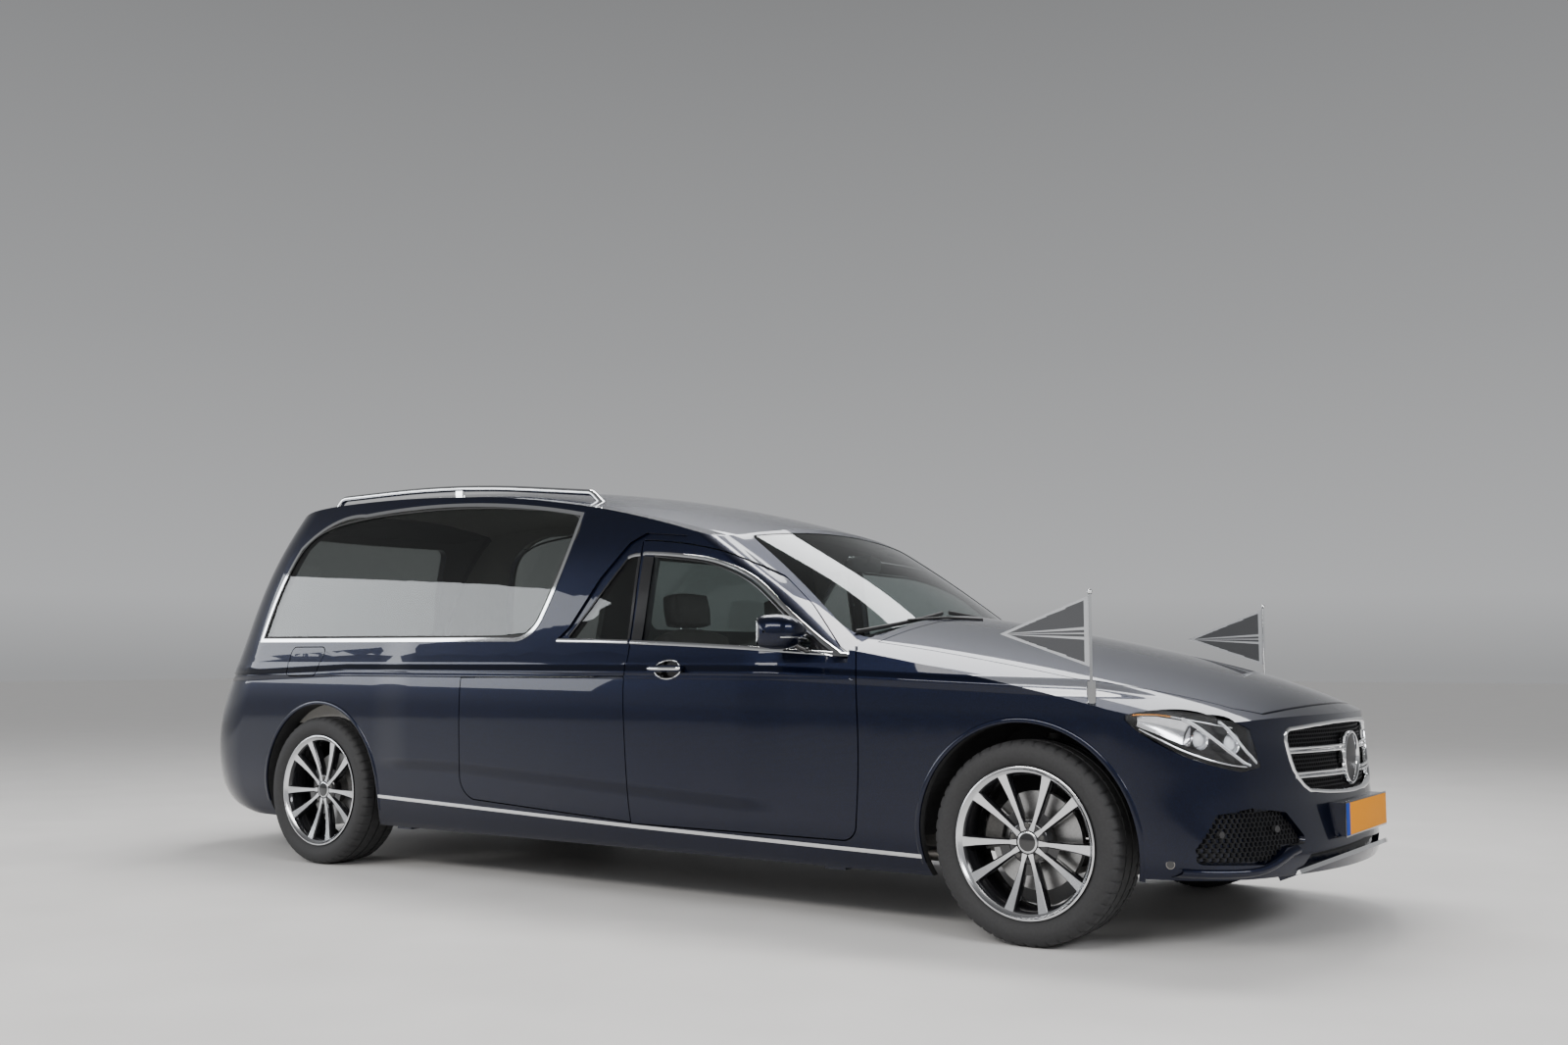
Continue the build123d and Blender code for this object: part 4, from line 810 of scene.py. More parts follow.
def headlamp(hand, side):
    """A clear lens over a dark bowl with light guides, two projectors, ribs and a turn signal."""
    def inside(x, share, inset):
        """A point inside the lamp, a share of the way up from its lower line."""
        low, high = (float(np.interp(x, *zip(*line))) for line in (lamp_low, lamp_high))
        z = low + (high - low) * share
        return (x, side * float(lower_side(x, z, inset)[0]), z)

    def patch(inset):
        return [[inside(x, share, inset) for share in lamp_shares] for x in lamp_x]

    def rib(xs, share, inset, steps, radius):
        return tube(smooth_line([inside(x, share, inset) for x in xs], steps), radius, 8)

    piece("headlamp_lens_" + hand, "body", "lamp_clear", 50,
          (lens_clear, skin(inside, lamp_x, lamp_shares, 0.5, 3.5)))
    bowl = shrunk(patch(52), 0.14)
    piece("headlamp_bowl_" + hand, "body", "lamp_clear", 30,
          (gloss_black, shell(bowl, patch(57)), grid([edge_of(patch(5)), edge_of(bowl)], closed_v=True)))
    bright, white = [], []
    for start, x_from, x_to, depth in ((0.62, 2452, 2604, 16), (0.70, 2540, 2624, 14)):
        line = [inside(x_from + (x_to - x_from) * t, max(0.08, start + 0.24 - (start + 0.12) * t ** 1.35), depth)
                for t in lamp_shares]
        white.append(tube(smooth_line(line, 4), 4.2, 10))
        bright.append(tube(smooth_line([(x - 5, y - side * 7, z - 3) for x, y, z in line], 4), 5.5, 8))
    turn = math.atan2(-side * 0.45, 0.9)
    for x, share, r in ((2486, 0.44, 30), (2556, 0.5, 32)):
        c = Vector(inside(x, share, 34))

        def aimed(out, across, up):
            """A point of a projector, in axes turned a little outwards."""
            return (c.x + out * math.cos(turn) + across * math.sin(turn),
                    c.y - out * math.sin(turn) + across * math.cos(turn), c.z + up)

        bright.append(rounds(aimed, ((-18, r * 0.55), (-8, r * 0.8), (4, r), (9, r + 1.5), (10, r + 3), (4, r + 4)),
                             28))
        white.append(rounds(aimed, [(r * 0.5 * math.cos(a) - 6, r * 0.78 * math.sin(a)) for a in turns(24)[:7]], 24))
    bright.append(rib((2316, 2350, 2400, 2460, 2520, 2570), 0.86, 12, 6, 2.6))
    bright.append(rib((2334, 2386, 2450, 2516, 2570, 2600), 0.10, 10, 6, 3.0))
    bright.append(grid([[inside(2326 + along, 0.20 + 0.58 * j / 10, 12 + 0.21 * along + 9 * math.sin(math.pi * j / 10))
                         for j in range(11)] for along in (7.6 * k for k in range(19))]))
    piece("headlamp_inner_" + hand, "body", "lamp_clear", 40, (lamp_silver, *bright), (guide_white, *white),
          (lens_amber, rib((2312, 2332, 2360, 2392, 2424), 0.87, 9, 5, 3.6)))


for hand, side in hands:
    headlamp(hand, side)
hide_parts("headlamps")


# Tail lamps
def tail_lamp(hand, side):
    """A red lens over a dark bowl with bright ribs."""
    inner_end, corner = 577.0, 45
    heights, shares = [705 + 206 * k / 12 for k in range(13)], [k / 26 for k in range(27)]

    def inside(u, z, inset):
        """A point of the lamp from its inner end, u 0, round the corner to its side edge, u 1."""
        edge_x = np.interp(z, [704, 912], [-2535, -2465])
        widest = float(lower_side(edge_x, z, inset)[0])
        y, join = inner_end + (widest - inner_end) * math.sin(u * math.pi / 2), widest - corner
        if y < join:
            return on_tail(side * y, z, inset)
        join_x = on_tail(join, z, inset)[0]
        return on_side(join_x + (edge_x - join_x) * (y - join) / corner, z, inset, side)

    piece("tail_lens_" + hand, "body", "lamp_red", 50, (lens_red, skin(inside, shares, heights, 0.5, 3.5)))
    piece("tail_bowl_" + hand, "body", "lamp_red", 40, (gloss_black, skin(inside, shares, heights, 45, 50)),
          (guide_white, *[tube([inside(u, z, 18) for u in shares[1:-1]], 6, 8, 0.5) for z in (735, 790, 845, 890)]))


for hand, side in hands:
    tail_lamp(hand, side)
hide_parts("tail_lamps")

# Grille: bright frame, honeycomb, two pairs of twin louvres and a plain round badge plate
mouth_line = [(-458, 721), (-300, 731), (-150, 736.5), (0, 738), (150, 736.5), (300, 731), (458, 721), (474, 714),
              (484, 703), (489, 678), (482, 648), (470, 609), (456, 578), (434, 550), (405, 524), (370, 505),
              (250, 494), (120, 487), (0, 485), (-120, 487), (-250, 494), (-370, 505), (-405, 524), (-434, 550),
              (-456, 578), (-470, 609), (-482, 648), (-489, 678), (-484, 703), (-474, 714)]
mouth = resampled(mouth_line + mouth_line[:1], 9)[:-1]


def drawn_in(line, by):
    """A closed line in front view moved inwards."""
    pts = np.array(line)
    inward = offset_dirs(np.roll(pts, -1, 0) - np.roll(pts, 1, 0))
    turn = np.sign(((pts.mean(0) - pts) * inward).sum())
    return [tuple(p) for p in pts + inward * by * turn]


def inside_line(y, z, line):
    """Whether a front-view point lies in a closed line."""
    hit = False
    for (y1, z1), (y2, z2) in zip(line, line[-1:] + line[:-1]):
        if (z1 > z) != (z2 > z) and y < (y2 - y1) * (z - z1) / (z2 - z1) + y1:
            hit = not hit
    return hit


def honeycomb(line, depth, cell, wall):
    """A net of six-sided cells inside a closed front-view line, at a depth behind the nose."""
    cells = []
    (y_low, z_low), (y_high, z_high) = np.min(line, 0), np.max(line, 0)
    wide, z, row = cell * math.sqrt(3), z_low, 0
    while z < z_high + cell:
        y = y_low + row % 2 * wide / 2
        while y < y_high + cell:
            if inside_line(y, z, line):
                cells.append(grid([[on_nose(y + size * math.cos(t + math.pi / 6), z + size * math.sin(t + math.pi / 6),
                                            depth + deep) for t in turns(6)]
                                   for size, deep in ((cell, 0), (cell - wall, 0), (cell - wall, 7))], closed_v=True))
            y += wide
        z += cell * 1.5
        row += 1
    return merged(*cells)


def filled(line, depth):
    """A closed front-view line filled at a depth, as a fan of strips."""
    pts = np.array(line)
    centre = pts.mean(0)
    return grid([[on_nose(*(centre + (p - centre) * share), depth) for p in pts]
                 for share in (1.0, 0.8, 0.6, 0.4, 0.2, 0.02)], closed_v=True)


made = piece("grille_frame", "body", "chrome", 60, (chrome, grid(
    [[on_nose(y, z, -out) for y, z in drawn_in(mouth, by)]
     for by, out in ((0, -1), (0, 2.5), (3, 4.5), (8, 5), (12, 3), (15, -2), (17, -16))], closed_v=True)))
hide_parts("grille")
piece("grille_net", "body", "chrome", 20,
      (net_black, honeycomb(drawn_in(mouth, 12), 20, 9, 1.6), filled(drawn_in(mouth, 6), 33)))
louvres = []
for z, reach in ((644, 474), (563, 446)):
    for dz in (6.5, -6.5):
        for _, side in hands:
            louvres.append(tube([on_nose(side * y, z + dz, 2 - 10 * (1 - (y - 96) / (reach - 96)))
                                 for y in np.linspace(reach, 92, 16)], [4.6] * 15 + [4.0], 12, 0.95))
    for _, side in hands:
        louvres.append(tube([on_nose(side * y, z, 10) for y in np.linspace(reach, 90, 12)], 7.5, 8, 0.8))
piece("grille_louvres", "body", "chrome", 50, (chrome, *louvres))
badge_z = 603
badge_x = on_nose(0, badge_z)[0] - 6


def on_badge(out, across, up):
    return (badge_x + out, across, badge_z + up)


piece("badge_plate", "body", "chrome", 40,
      (chrome, rounds(on_badge, ((-14, 84), (-12, 91), (2, 93.5), (10, 92), (13, 88), (12, 84), (6, 81.5), (0, 81)),
                      72)),
      (black_plastic, rounds(on_badge, ((0, 81), (1.5, 60), (2.5, 30), (2.8, 0.5)), 72)))


# Bright strips, seals and panels laid on the car's sides
def side_strip(line, half, proud, side, step=24):
    """A domed strip along a side-view line, on the outer skin."""
    dome = ((-1, -1.5), (-0.92, 0.55 * proud), (-0.5, 0.92 * proud), (0, proud), (0.5, 0.92 * proud),
            (0.92, 0.55 * proud), (1, -1.5))
    return band(line, lambda x, z, inset: on_side(x, z, inset, side), half, dome, step)


def side_patch(low, high, side, steps):
    """A thin skin between two straight side-view lines that run the same way."""
    (a, b), (c, d) = np.array(low, float), np.array(high, float)
    n = max(2, int(max(math.dist(a, b), math.dist(c, d)) / 30))

    def laid(along, up, inset):
        start, stop = a + (b - a) * along, c + (d - c) * along
        return on_side(*(start + (stop - start) * up), inset, side)

    return skin(laid, [i / n for i in range(n + 1)], [k / steps for k in range(steps + 1)], -0.8, 0.4)


door_arc = [(190, 1369), (214, 1372), (368, 1359), (567, 1328), (758, 1256), (942, 1121), (1075, 1029), (1180, 965)]
glass_arc = [(252, 1359), (368, 1345), (560, 1315), (752, 1239), (930, 1109), (1050, 1027), (1132, 979)]
belt = [(190, 1012), (420, 1003), (700, 990), (960, 975), (1130, 965), (1252, 958)]
long_window = [(-2184, 1048), (-2137, 1270), (-2051, 1474), (-1906, 1571), (-1637, 1615), (-1280, 1630), (-930, 1627),
               (-560, 1602), (-212, 1546), (-256, 1340), (-334, 1131), (-387, 1064), (-480, 1041), (-1300, 1044)]
cup_x, cup_z = 416, 903
for hand, side in hands:
    door = "door_" + hand
    piece("door_surround_" + hand, door, "chrome", 60,
          (chrome, side_strip(door_arc, 7.5, 3.2, side), side_strip(belt, 8, 3.4, side)))
    piece("door_frame_black_" + hand, door, "black_gloss", 40,
          (gloss_black, side_strip(glass_arc, 4.5, 1.2, side),
           side_patch([(194, 1020), (194, 1362)], [(248, 1020), (248, 1356)], side, 3),
           side_patch([(1062, 980), (1148, 975)], [(1062, 1026), (1148, 976)], side, 3)))
    piece("quarter_strip_" + hand, "body", "chrome", 60,
          (chrome, side_strip([(-212, 1022), (0, 1018), (178, 1013)], 8, 3.4, side),
           side_strip([(112, 1358), (140, 1366), (176, 1369)], 7, 3.2, side)))
    piece("quarter_seal_" + hand, "body", "black_gloss", 40,
          (gloss_black, side_strip([(-150, 1036), (-64, 1141), (40, 1268), (124, 1370)], 4, 1.0, side),
           side_patch([(172, 1024), (165, 1366)], [(184, 1023), (179, 1367)], side, 2)))
    piece("long_window_seal_" + hand, "body", "black_gloss", 40,
          (seal, side_strip(long_window + long_window[:1], 5, 1.4, side, 30)))

    # Handle: a bright rim round the cup, a dark cup and a bright bar
    rim_line = [on_side(cup_x + 64 * math.cos(t), cup_z + 36 * math.sin(t), -1.0, side) for t in turns(48)]
    bar = [(334 + 164 * k / 12, side * (934.5 + 2.5 * math.sin(math.pi * k / 12)), 907) for k in range(13)]
    piece("door_handle_bright_" + hand, door, "chrome", 50,
          (chrome, tube(rim_line, 3.4, 10, closed=True), tube(bar, [4] + [7.5] * 11 + [4], 12)))
    assign(door, gloss_black, lambda x, y, z, n: ((x - cup_x) / 63) ** 2 + ((z - cup_z) / 35) ** 2 < 1
           and abs(y) < float(lower_side(x, z)[0]) - 1)

# Raised lips round the wheel arches
arch_section = ((395.5, -6), (395.5, 0.5), (397, 2.6), (401, 3.6), (407, 3.0), (413, 0.8), (415, -1.5))
for name, x0, start, stop in (("front", front_axle, -14, 194), ("rear", rear_axle, -10, 190)):
    round_arch = [math.radians(start + (stop - start) * k / 60) for k in range(61)]
    piece("arch_lips_" + name, "body", "paint", 60, (paint, *[
        grid([[on_side(x0 + r * math.cos(t), hub_z + r * math.sin(t), -lift, side) for r, lift in arch_section]
              for t in round_arch]) for _, side in hands]))

# Door mirrors. Columns: distance from the centre plane, station and height of the middle, half length, half height and
# squareness.
mirror_rows = [(878, 1006, 1034, 20, 16, 2.1), (884, 998, 1036, 58, 36, 2.2), (900, 990, 1038, 82, 50, 2.4),
               (930, 983, 1041, 92, 60, 2.5), (965, 978, 1044, 93, 64, 2.6), (1000, 974, 1045, 84, 59, 2.5),
               (1018, 972, 1045, 64, 46, 2.3), (1028, 972, 1044, 36, 26, 2.1), (1031, 972, 1044, 6, 5, 2.0)]
back_from, back_rise = 0.55, 0.25


def mirror_ring(side, y, x, z, half_x, half_z, power):
    """A rounded section of the housing, flattened behind, where the glass lies."""
    ring, back = [], -half_x * back_from
    for t in turns(40):
        px, pz = (half * math.copysign(abs(part) ** (2 / power), part)
                  for half, part in ((half_x, math.cos(t)), (half_z, math.sin(t))))
        if px < back:
            px = back + (px - back) * back_rise
        ring.append((x + px - 8, side * y, z + pz))
    return ring


for hand, side in hands:
    foot = smooth_line([(1052, side * 866, 972), (1040, side * 880, 978), (1024, side * 900, 990),
                        (1008, side * 922, 1004)], 4)
    made = piece("mirror_housing_" + hand, "door_" + hand, "black_gloss", 50,
                 (paint, grid([mirror_ring(side, *row) for row in mirror_rows], closed_v=True)),
                 (gloss_black, tube(foot, [26] * 4 + [22] * 4 + [20] * 5, 14, 0.5)))
    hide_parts("mirror_" + hand)
    piece("mirror_glass_" + hand, "door_" + hand, "black_gloss", 30, (mirror_glass, grid(
        [[(x - half_x * (back_from + (1 - back_from) * back_rise) - 8.6, side * y, z + half_z * 0.86 * k / 6)
          for k in range(-6, 7)] for y, x, z, half_x, half_z, _ in mirror_rows[1:-1]])))
    piece("mirror_strip_" + hand, "door_" + hand, "chrome", 38, (chrome, tube(
        [(x + half_x - 7.2, side * y, z - 22) for y, x, z, half_x, _, _ in mirror_rows[2:-2]], 3.2, 8)))

# Lower air intakes with their nets, the raised painted lips from under them to the blade, and the parking sensors
side_intake = [(826, 300), (830, 350), (780, 454), (667, 471), (519, 451), (430, 350), (545, 340), (614, 292)]
lip_line = [(850, 274), (800, 271), (720, 270), (662, 275), (612, 289), (570, 307), (530, 323), (494, 332)]
lip_section = ((-1, -1.5), (-0.85, 4), (-0.3, 9), (0.2, 9.5), (0.7, 6), (1, -1.5))
nets, lips, sensors = [], [], []
for _, side in hands:
    line = resampled([(side * y, z) for y, z in side_intake + side_intake[:1]], 12)[:-1]
    nets.append(honeycomb(drawn_in(line, 5), 17, 10, 2.0))
    lips.append(band(lip_line, lambda y, z, inset: on_nose(side * y, z, inset), 15, lip_section, 16))
    for y, z in ((760, 392), (560, 400)):
        c = Vector(on_nose(side * y, z, 20))
        sensors.append(tube([c, c + Vector((14, side * 7, 0))], 11, 20))
piece("intake_nets", "body", "paint", 20, (net_black, *nets))
piece("bumper_lip", "body", "paint", 60, (paint, *lips))
piece("parking_sensors", "body", "paint", 40, (black_plastic, *sensors))
for hand, side in hands:
    c = Vector(on_side(2418, 300, 0, side))
    slope = float(lower_side(2420, 300)[0] - lower_side(2416, 300)[0]) / 4
    aim = Vector((-slope, side, 0)).normalized()
    piece("front_reflector_" + hand, "body", "chrome", 40, (steel_dull, tube([c - aim * 3, c + aim], 14, 24)),
          (gloss_black, tube([c - aim * 3, c + aim * 1.6], 12, 24)))

# Number plates
plate_half, plate_up, plate_band = 258, 53, 42
rear_plate_z = 780
rear_plate_x = on_tail(0, rear_plate_z)[0] - 5
gate_lean = (on_tail(0, rear_plate_z + plate_up)[0] - on_tail(0, rear_plate_z - plate_up)[0]) / (2 * plate_up)


def plate(x, z, ahead):
    """A holder, a blank registration plate and the blue band at its left, as three parts."""
    def layer(near, far, left, right, margin, bevel):
        xs, ys = sorted((x + ahead * near, x + ahead * far)), sorted((ahead * left, ahead * right))
        return block((xs[0], ys[0], z - plate_up - margin), (xs[1], ys[1], z + plate_up + margin), bevel)

    return (layer(0, 3, -plate_half - 6, plate_half + 6, 6, 1.2),
            layer(3, 4.2, plate_band - plate_half, plate_half, 0, 0.3),
            layer(3, 4.2, -plate_half, plate_band - plate_half, 0, 0.3))


def leaned(part):
    """A part tipped along with the tailgate's outer skin."""
    return [(x + gate_lean * (z - rear_plate_z), y, z) for x, y, z in part[0]], part[1]


holder, amber, blue = plate(2796.2, 411, 1)
piece("front_plate", "body", "paint", 30, (gloss_black, holder), (plate_amber, amber), (plate_blue, blue))
holder, amber, blue = (leaned(part) for part in plate(rear_plate_x, rear_plate_z, -1))
socket = leaned(block((rear_plate_x, -262, 722), (rear_plate_x + 26, 262, 838), 3))
piece("rear_plate", "tailgate", "paint", 30, (gloss_black, socket, holder), (plate_amber, amber), (plate_blue, blue))
piece("tailgate_grip", "tailgate", "chrome", 50,
      (chrome, tube([(on_tail(y, 872)[0] - 6, y, 872) for y in range(-290, 291, 29)], 9, 12, 1.3)))

# Rear bumper: load edge strip, reflectors, dark lower panel and tail pipes
pipe_x, pipe_y, pipe_z = on_tail(520, 262)
piece("rear_bumper_strip", "body", "chrome", 50,
      (chrome, tube([on_tail(y, 688, -1.2) for y in range(-700, 701, 35)], 5, 10, 0.9)))
piece("rear_reflectors", "body", "lamp_red", 40, (reflector_red, *[
    skin(on_tail, range(side * 600, side * 731, side * 26), (393, 408, 423), -2.5, 3) for _, side in hands]))
piece("rear_lower_panel", "body", "underbody", 40,
      (black_plastic, skin(on_tail, range(-600, 601, 40), (214, 240, 270, 300, 326), -0.9, 4)))
piece("tail_pipes", "body", "exhaust", 40, (chrome, *[
    rounds(lambda out, across, up: (pipe_x + out, side * pipe_y + 1.7 * across, pipe_z + up),
           ((70, 34), (0, 36), (-3, 38), (-3, 35), (66, 31)), 36) for _, side in hands]))


# Wipers parked low on the windscreen
def on_screen(y, z, lift):
    """A point of the windscreen, lifted off it."""
    return Vector((float(screen_x(y, z)[0]) - 4 + lift * 0.5, y, z + lift * 0.86))


parts = []
for y0, z0, y1, z1, pivot_z in ((-716, 1030, -120, 1112, 1100), (-60, 1116, 560, 1062, 1058)):
    blade = [on_screen(y0 + (y1 - y0) * k / 14, z0 + (z1 - z0) * k / 14 + 8, 9) for k in range(15)]
    pivot_y = y0 + (y1 - y0) * 0.98
    pivot, mid = Vector((float(screen_x(pivot_y, 1000)[0]) + 6, pivot_y, pivot_z)), blade[7]
    parts += [tube(blade, 5, 8, 1.6),
              tube([pivot, (pivot + mid) / 2 + Vector((4, 0, 12)), mid + Vector((3, 0, 8))], 7, 8, 0.7)]
piece("wipers", "body", "black_gloss", 40, (black_plastic, *parts))


# Front seats: base, cushion, back with bolsters and head restraint
def cushion(centre, size, bulge, lean, seams=(), n=16):
    """A stuffed block with rounded sides, swollen faces and stitched channels, leaned back about its middle."""
    verts, faces, lookup = [], [], {}
    turn = math.radians(lean)
    ticks = [-1 + 2 * i / n for i in range(n + 1)]

    def corner(*at):
        """The number of the point at a place of the cube, made at its first use."""
        key = tuple(round(c, 5) for c in at)
        if key not in lookup:
            p = np.array(at, float)
            q, r = np.roll(p, 1) ** 2, np.roll(p, 2) ** 2
            soft = p * np.sqrt(np.maximum(1 - q / 2 - r / 2 + q * r / 3, 0))
            swell = 1 + bulge * max(0, 1 - at[0] ** 2) * max(0, 1 - at[1] ** 2)
            dent = sum(math.exp(-((at[1] - s) / 0.035) ** 2) for s in seams) * 0.05
            x, y, z = (p * 0.62 + soft * 0.38) * np.array(size) / 2 * (1, 1, swell - dent)
            lookup[key] = len(verts)
            verts.append((centre[0] + x * math.cos(turn) - z * math.sin(turn), centre[1] + y,
                          centre[2] + x * math.sin(turn) + z * math.cos(turn)))
        return lookup[key]

    for sign in (-1, 1):
        for lay in (lambda u, v: (u, v, sign), lambda u, v: (u, sign, v), lambda u, v: (sign, u, v)):
            for a, b in zip(ticks, ticks[1:]):
                for c, d in zip(ticks, ticks[1:]):
                    faces.append(tuple(corner(*lay(u, v)) for u, v in ((a, c), (b, c), (b, d), (a, d))))
    return verts, faces


seams = (-0.42, 0.42)
for hand, side in hands:
    y = side * 370
    made = piece("seat_cushion_" + hand, "body", "leather", 60,
                 (hide, cushion((430, y, 500), (470, 470, 120), 0.12, 4, seams)))
    made = piece("seat_back_" + hand, "body", "leather", 60,
                 (hide, cushion((158, y, 800), (560, 470, 120), 0.14, 104, seams, 18)))
    made = piece("head_restraint_" + hand, "body", "leather", 60,
                 (hide, cushion((80, y, 1150), (150, 250, 86), 0.1, 100, n=12)))
    piece("seat_posts_" + hand, "body", "chrome", 60,
          (chrome, *[tube([(96, y + dy, 1040), (84, y + dy, 1120)], 6, 10) for dy in (-55, 55)]))
    made = piece("seat_frame_" + hand, "body", "interior", 40, (trim_dark, *[
        block((x0, y + y0, z0), (x1, y + y1, z1), bevel) for x0, y0, z0, x1, y1, z1, bevel in (
            (210, -215, 253, 640, -180, 330, 6), (210, 180, 253, 640, 215, 330, 6), (230, -228, 330, 640, 228, 445, 20),
            (170, -232, 400, 330, -212, 560, 8), (170, 212, 400, 330, 232, 560, 8))]))
    if hand == "right":
        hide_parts("front_seats")
    piece("belt_anchor_" + hand, "body", "interior", 40,
          (black_plastic, block((38, side * 640 - 14, 1150), (70, side * 640 + 14, 1200), 5)))

# Steering wheel
lean_back = math.radians(25)
wheel_out = Vector((-math.cos(lean_back), 0, math.sin(lean_back)))
wheel_up = Vector((math.sin(lean_back), 0, math.cos(lean_back)))
wheel_across = Vector((0, 1, 0))
wheel_hub = Vector((690, 370, 930))


def on_wheel(out, across, up):
    """A point of the steering wheel: towards the driver, and across and up in its plane."""
    return tuple(wheel_hub + wheel_across * across + wheel_up * up + wheel_out * out)


spokes = [tube([on_wheel(8 - k, a0 + (a1 - a0) * k / 6, b0 + (b1 - b0) * k / 6) for k in range(7)], w, 12, 0.42,
               up=tuple(wheel_out))
          for a0, b0, a1, b1, w in ((50, 4, 170, 10, 17), (-50, 4, -170, 10, 17), (0, -50, 0, -170, 19))]
made = piece(
    "steering_wheel_trim", "steering_wheel", "interior", 45,
    (hide, tube([on_wheel(0, 180 * math.cos(t), 180 * math.sin(t)) for t in turns(96)], 14.5, 14, closed=True,
                up=tuple(wheel_out))),
    (trim_dark, rounds(lambda out, across, up: on_wheel(out, 1.08 * across, up),
                       ((-16, 40), (-14, 58), (0, 66), (16, 62), (24, 50), (27, 26), (27.5, 0.5)), 40)),
    (satin, *spokes), (trim_dark, rounds(on_wheel, ((-16, 30), (-106, 24)), 24)),
    (satin, rounds(on_wheel, ((26, 20), (29, 19), (29.5, 0.5)), 32)))
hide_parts("steering_wheel")

# Dashboard: hood over the dials, a wide screen, round vents, a wood strip and the centre console
hood = grid([[(x, 370 + 190 * math.cos(t) * (1 - (x - 840) / 900), z0 + h * math.sin(t) ** 0.6)
              for x, z0, h in ((838, 905, 66), (870, 915, 70), (930, 926, 56), (1010, 938, 34), (1080, 950, 10))]
             for t in (math.pi * k / 12 for k in range(13))])
vent_z, vent_rims, slats = 772, [], []
for y in (-588, -58.8, 9.8, 78.4, 607.6):
    vent_rims.append(rounds(lambda out, across, up: (836 + out, y + across, vent_z + up),
                            ((0, 34), (-8, 37), (-12, 33), (-8, 28), (6, 26)), 28))
    slats += [block((830, y - 24, z - 2), (842, y + 24, z + 2), 0.8) for z in (vent_z - 14, vent_z, vent_z + 14)]
piece("dashboard_details", "body", "interior", 40,
      (trim_dark, hood, block((850, 195, 850), (868, 545, 955), 5)),
      (wood, block((822, -640, 800), (846, 660, 838), 4)),
      (gloss_black, block((838, -150, 862), (862, 540, 962), 6), block((835, -142, 870), (839, 532, 954), 1)),
      (satin, *vent_rims),
      (trim_dark, *slats, block((240, -108, 540), (830, 108, 572), 14), block((260, -98, 566), (520, 98, 640), 22),
       block((560, -60, 570), (800, 60, 584), 5)))

# The window in the partition, the bright runners and rollers of the load deck, the lining and the inner mirror's glass
piece("partition_glass", "body", "glass", 30, (window_glass, block((-30, -500, 1070), (-24, 500, 1370))))
rollers = []
for x in range(-2300, -203, 262):
    for y in (-180, 180):
        rollers += [lathe([(-52, 0.5), (-52, 12), (-48, 14), (48, 14), (52, 12), (52, 0.5)], (x, y, 615), 1, 20),
                    block((x - 20, y - 60, 600), (x + 20, y - 53, 618), 1),
                    block((x - 20, y + 53, 600), (x + 20, y + 60, 618), 1)]
piece("deck_runners", "body", "deck", 40,
      (chrome, *[block((-2398, y - 14, 622), (-42, y + 14, 627), 2) for y in (-360, 360)], *rollers))


def on_lining(x, z, depth, side):
    """A point of the lining inside the load space."""
    y = cabin_side(x, z, 52) if z > shoulder else lower_side(x, z, 92)
    return (x, side * (float(y[0]) - depth), z)


piece("load_space_lining", "body", "interior", 40, (trim_pale, *[
    skin(lambda x, z, depth: on_lining(x, z, depth, side), range(first, last + 1, 45), heights, 0, 6)
    for _, side in hands
    for first, last, heights in ((-2100, -750, (640, 740, 840, 920, 1000, 1030)), (-750, -390, (888, 920, 1000, 1030)))
]))
piece("interior_mirror_glass", "body", "black_gloss", 30,
      (mirror_glass, block((738.5, -108, 1317), (740.2, 108, 1373), 0.5)))


# Wing pennants: charcoal cloth with a silver border and three silver stripes that run to the tip
def pennant(side):
    """A three-cornered cloth held out from its pole, gently waved."""
    at_pole, at_tip = (2169.7, 919, 1150), (1848, 1027.5, 1028.5)
    reach, height, border, nx, nz = 322, 231, 9, 60, 48

    def laid(u, v, depth):
        """The point at a share u of the way to the tip and v of the way up."""
        x, low, top = (a + (b - a) * u for a, b in zip(at_pole, at_tip))
        wave = 1.3 * math.sin(7 * u + 0.6 * side + 2 * v) * u
        return (x, side * 890 + wave + depth, low + (top - low) * v)

    def silver(u, v):
        """Whether the border or a stripe runs here."""
        span = height * (1 - u)
        if min(v, 1 - v) * span < border or u * reach < 14:
            return True
        return span > 18 and any(abs((v - 0.472) * height - middle) < 3.4 for middle in (-17, 0, 17))

    verts, faces = skin(laid, [i / nx for i in range(nx + 1)], [j / nz for j in range(nz + 1)], 0.55, -0.55)
    cloth = [cloth_silver if silver((i + 0.5) / nx, (j + 0.5) / nz) else cloth_dark
             for i in range(nx) for j in range(nz)]
    return verts, faces, cloth * 2 + [cloth_silver] * (2 * (nx + nz))


for hand, side in hands:
    made = piece("pennant_cloth_" + hand, "body", "fabric", 50, (cloth_dark, pennant(side)))
    if hand == "right":
        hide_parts("pennants")
    piece("pole_knob_" + hand, "body", "chrome", 50, (gloss_black, rounds(
        lambda up, ahead, across: (2175 + ahead, side * 890 + across, 1163 + up),
        ((-9, 3), (-7, 6.5), (0, 9.1), (5, 7.6), (8.5, 4), (9.2, 0.3)), 24)))


# Floor, light and camera
def staged(name, data, at=(0, 0, 0), turn=(0, 0, 0)):
    """An object of the studio, which isn't part of the car."""
    made = bpy.data.objects.new(name, data)
    made.location, made.rotation_euler = at, turn
    bpy.context.scene.collection.objects.link(made)
    return made


floor = bpy.data.meshes.new("floor")
floor.from_pydata([(-60, -60, 0), (60, -60, 0), (60, 60, 0), (-60, 60, 0)], [], [(0, 1, 2, 3)])
floor.materials.append(plain("floor_pale", (0.62, 0.61, 0.60), 0.55, grain=2, vary=0.03))
staged("floor", floor)
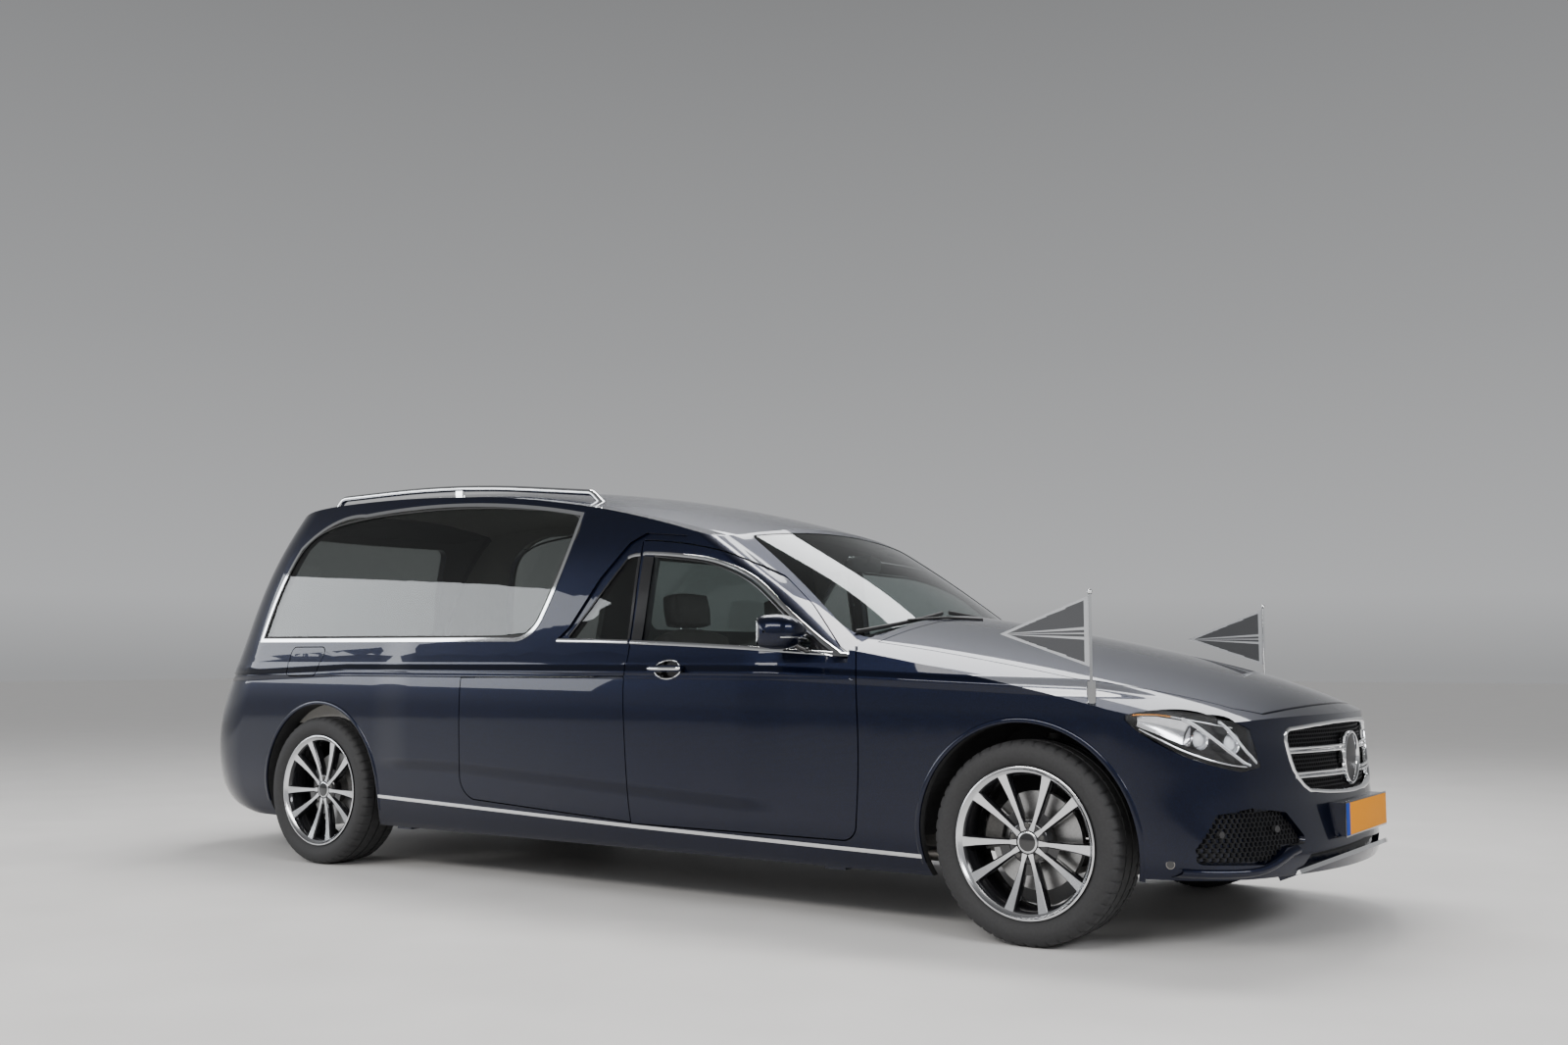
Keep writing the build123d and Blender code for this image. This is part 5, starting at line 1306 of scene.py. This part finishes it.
# Name, place, where it looks, length, width, power and colour
for name, at, towards, size, width, power, colour in (
        ("sky_panel", (-0.5, 1.5, 6.0), (0, 0, 0), 5, 1.2, 430, (1.0, 0.99, 0.97)),
        ("side_panel", (0.5, -8.5, 5.2), (0, 0, 0.7), 8, 1.6, 520, (1.0, 0.98, 0.95)),
        ("front_panel", (8.5, -2.5, 4.2), (1.5, 0, 0.7), 5, 1.4, 320, (0.97, 0.98, 1.0)),
        ("back_panel", (-10.5, -7.4, 3.7), (-1, 0, 1.0), 7, 3, 420, (0.93, 0.96, 1.0)),
        ("left_panel", (-1.0, 5.5, 6.5), (0, 0, 0.7), 8, 1.2, 220, (0.97, 0.98, 1.0))):
    light = bpy.data.lights.new(name, "AREA")
    light.energy, light.color, light.shape, light.size, light.size_y = power, colour, "RECTANGLE", size, width
    panel = staged(name, light, at, (Vector(towards) - Vector(at)).to_track_quat("-Z", "Y").to_euler())
    panel.visible_camera = False
soft = bpy.data.lights.new("ceiling", "SUN")
soft.energy, soft.angle = 1.5, math.radians(110)
ceiling = staged("ceiling", soft, turn=(math.radians(28), math.radians(14), 0))
ceiling.visible_glossy = False

world = bpy.data.worlds.new("studio")
world.use_nodes = True
sky = world.node_tree
split = add(sky, "SeparateXYZ", {"Vector": add(sky, "TexCoord", {}).outputs["Generated"]})
greys = ((0.0, 0.46), (0.497, 0.49), (0.52, 0.68), (0.60, 0.50), (0.75, 0.26), (1.0, 0.14))
fade = ramp(sky, ranged(sky, split.outputs["Z"], -1, 1), *[(at, (g, g * 1.01, g * 1.03)) for at, g in greys])
feed(sky, sky.nodes["Background"], {"Color": fade, "Strength": 0.75})
bpy.context.scene.world = world

lens = bpy.data.cameras.new("camera")
lens.sensor_width, lens.sensor_fit, lens.lens, lens.clip_end = 36, "HORIZONTAL", 35.11, 200
camera = bpy.data.objects.new("camera", lens)
camera.location = (4.2227, -5.5565, 0.9436)
camera.rotation_euler = (math.radians(95.102), 0, math.radians(34.994))
bpy.context.scene.collection.objects.link(camera)
bpy.context.scene.camera = camera
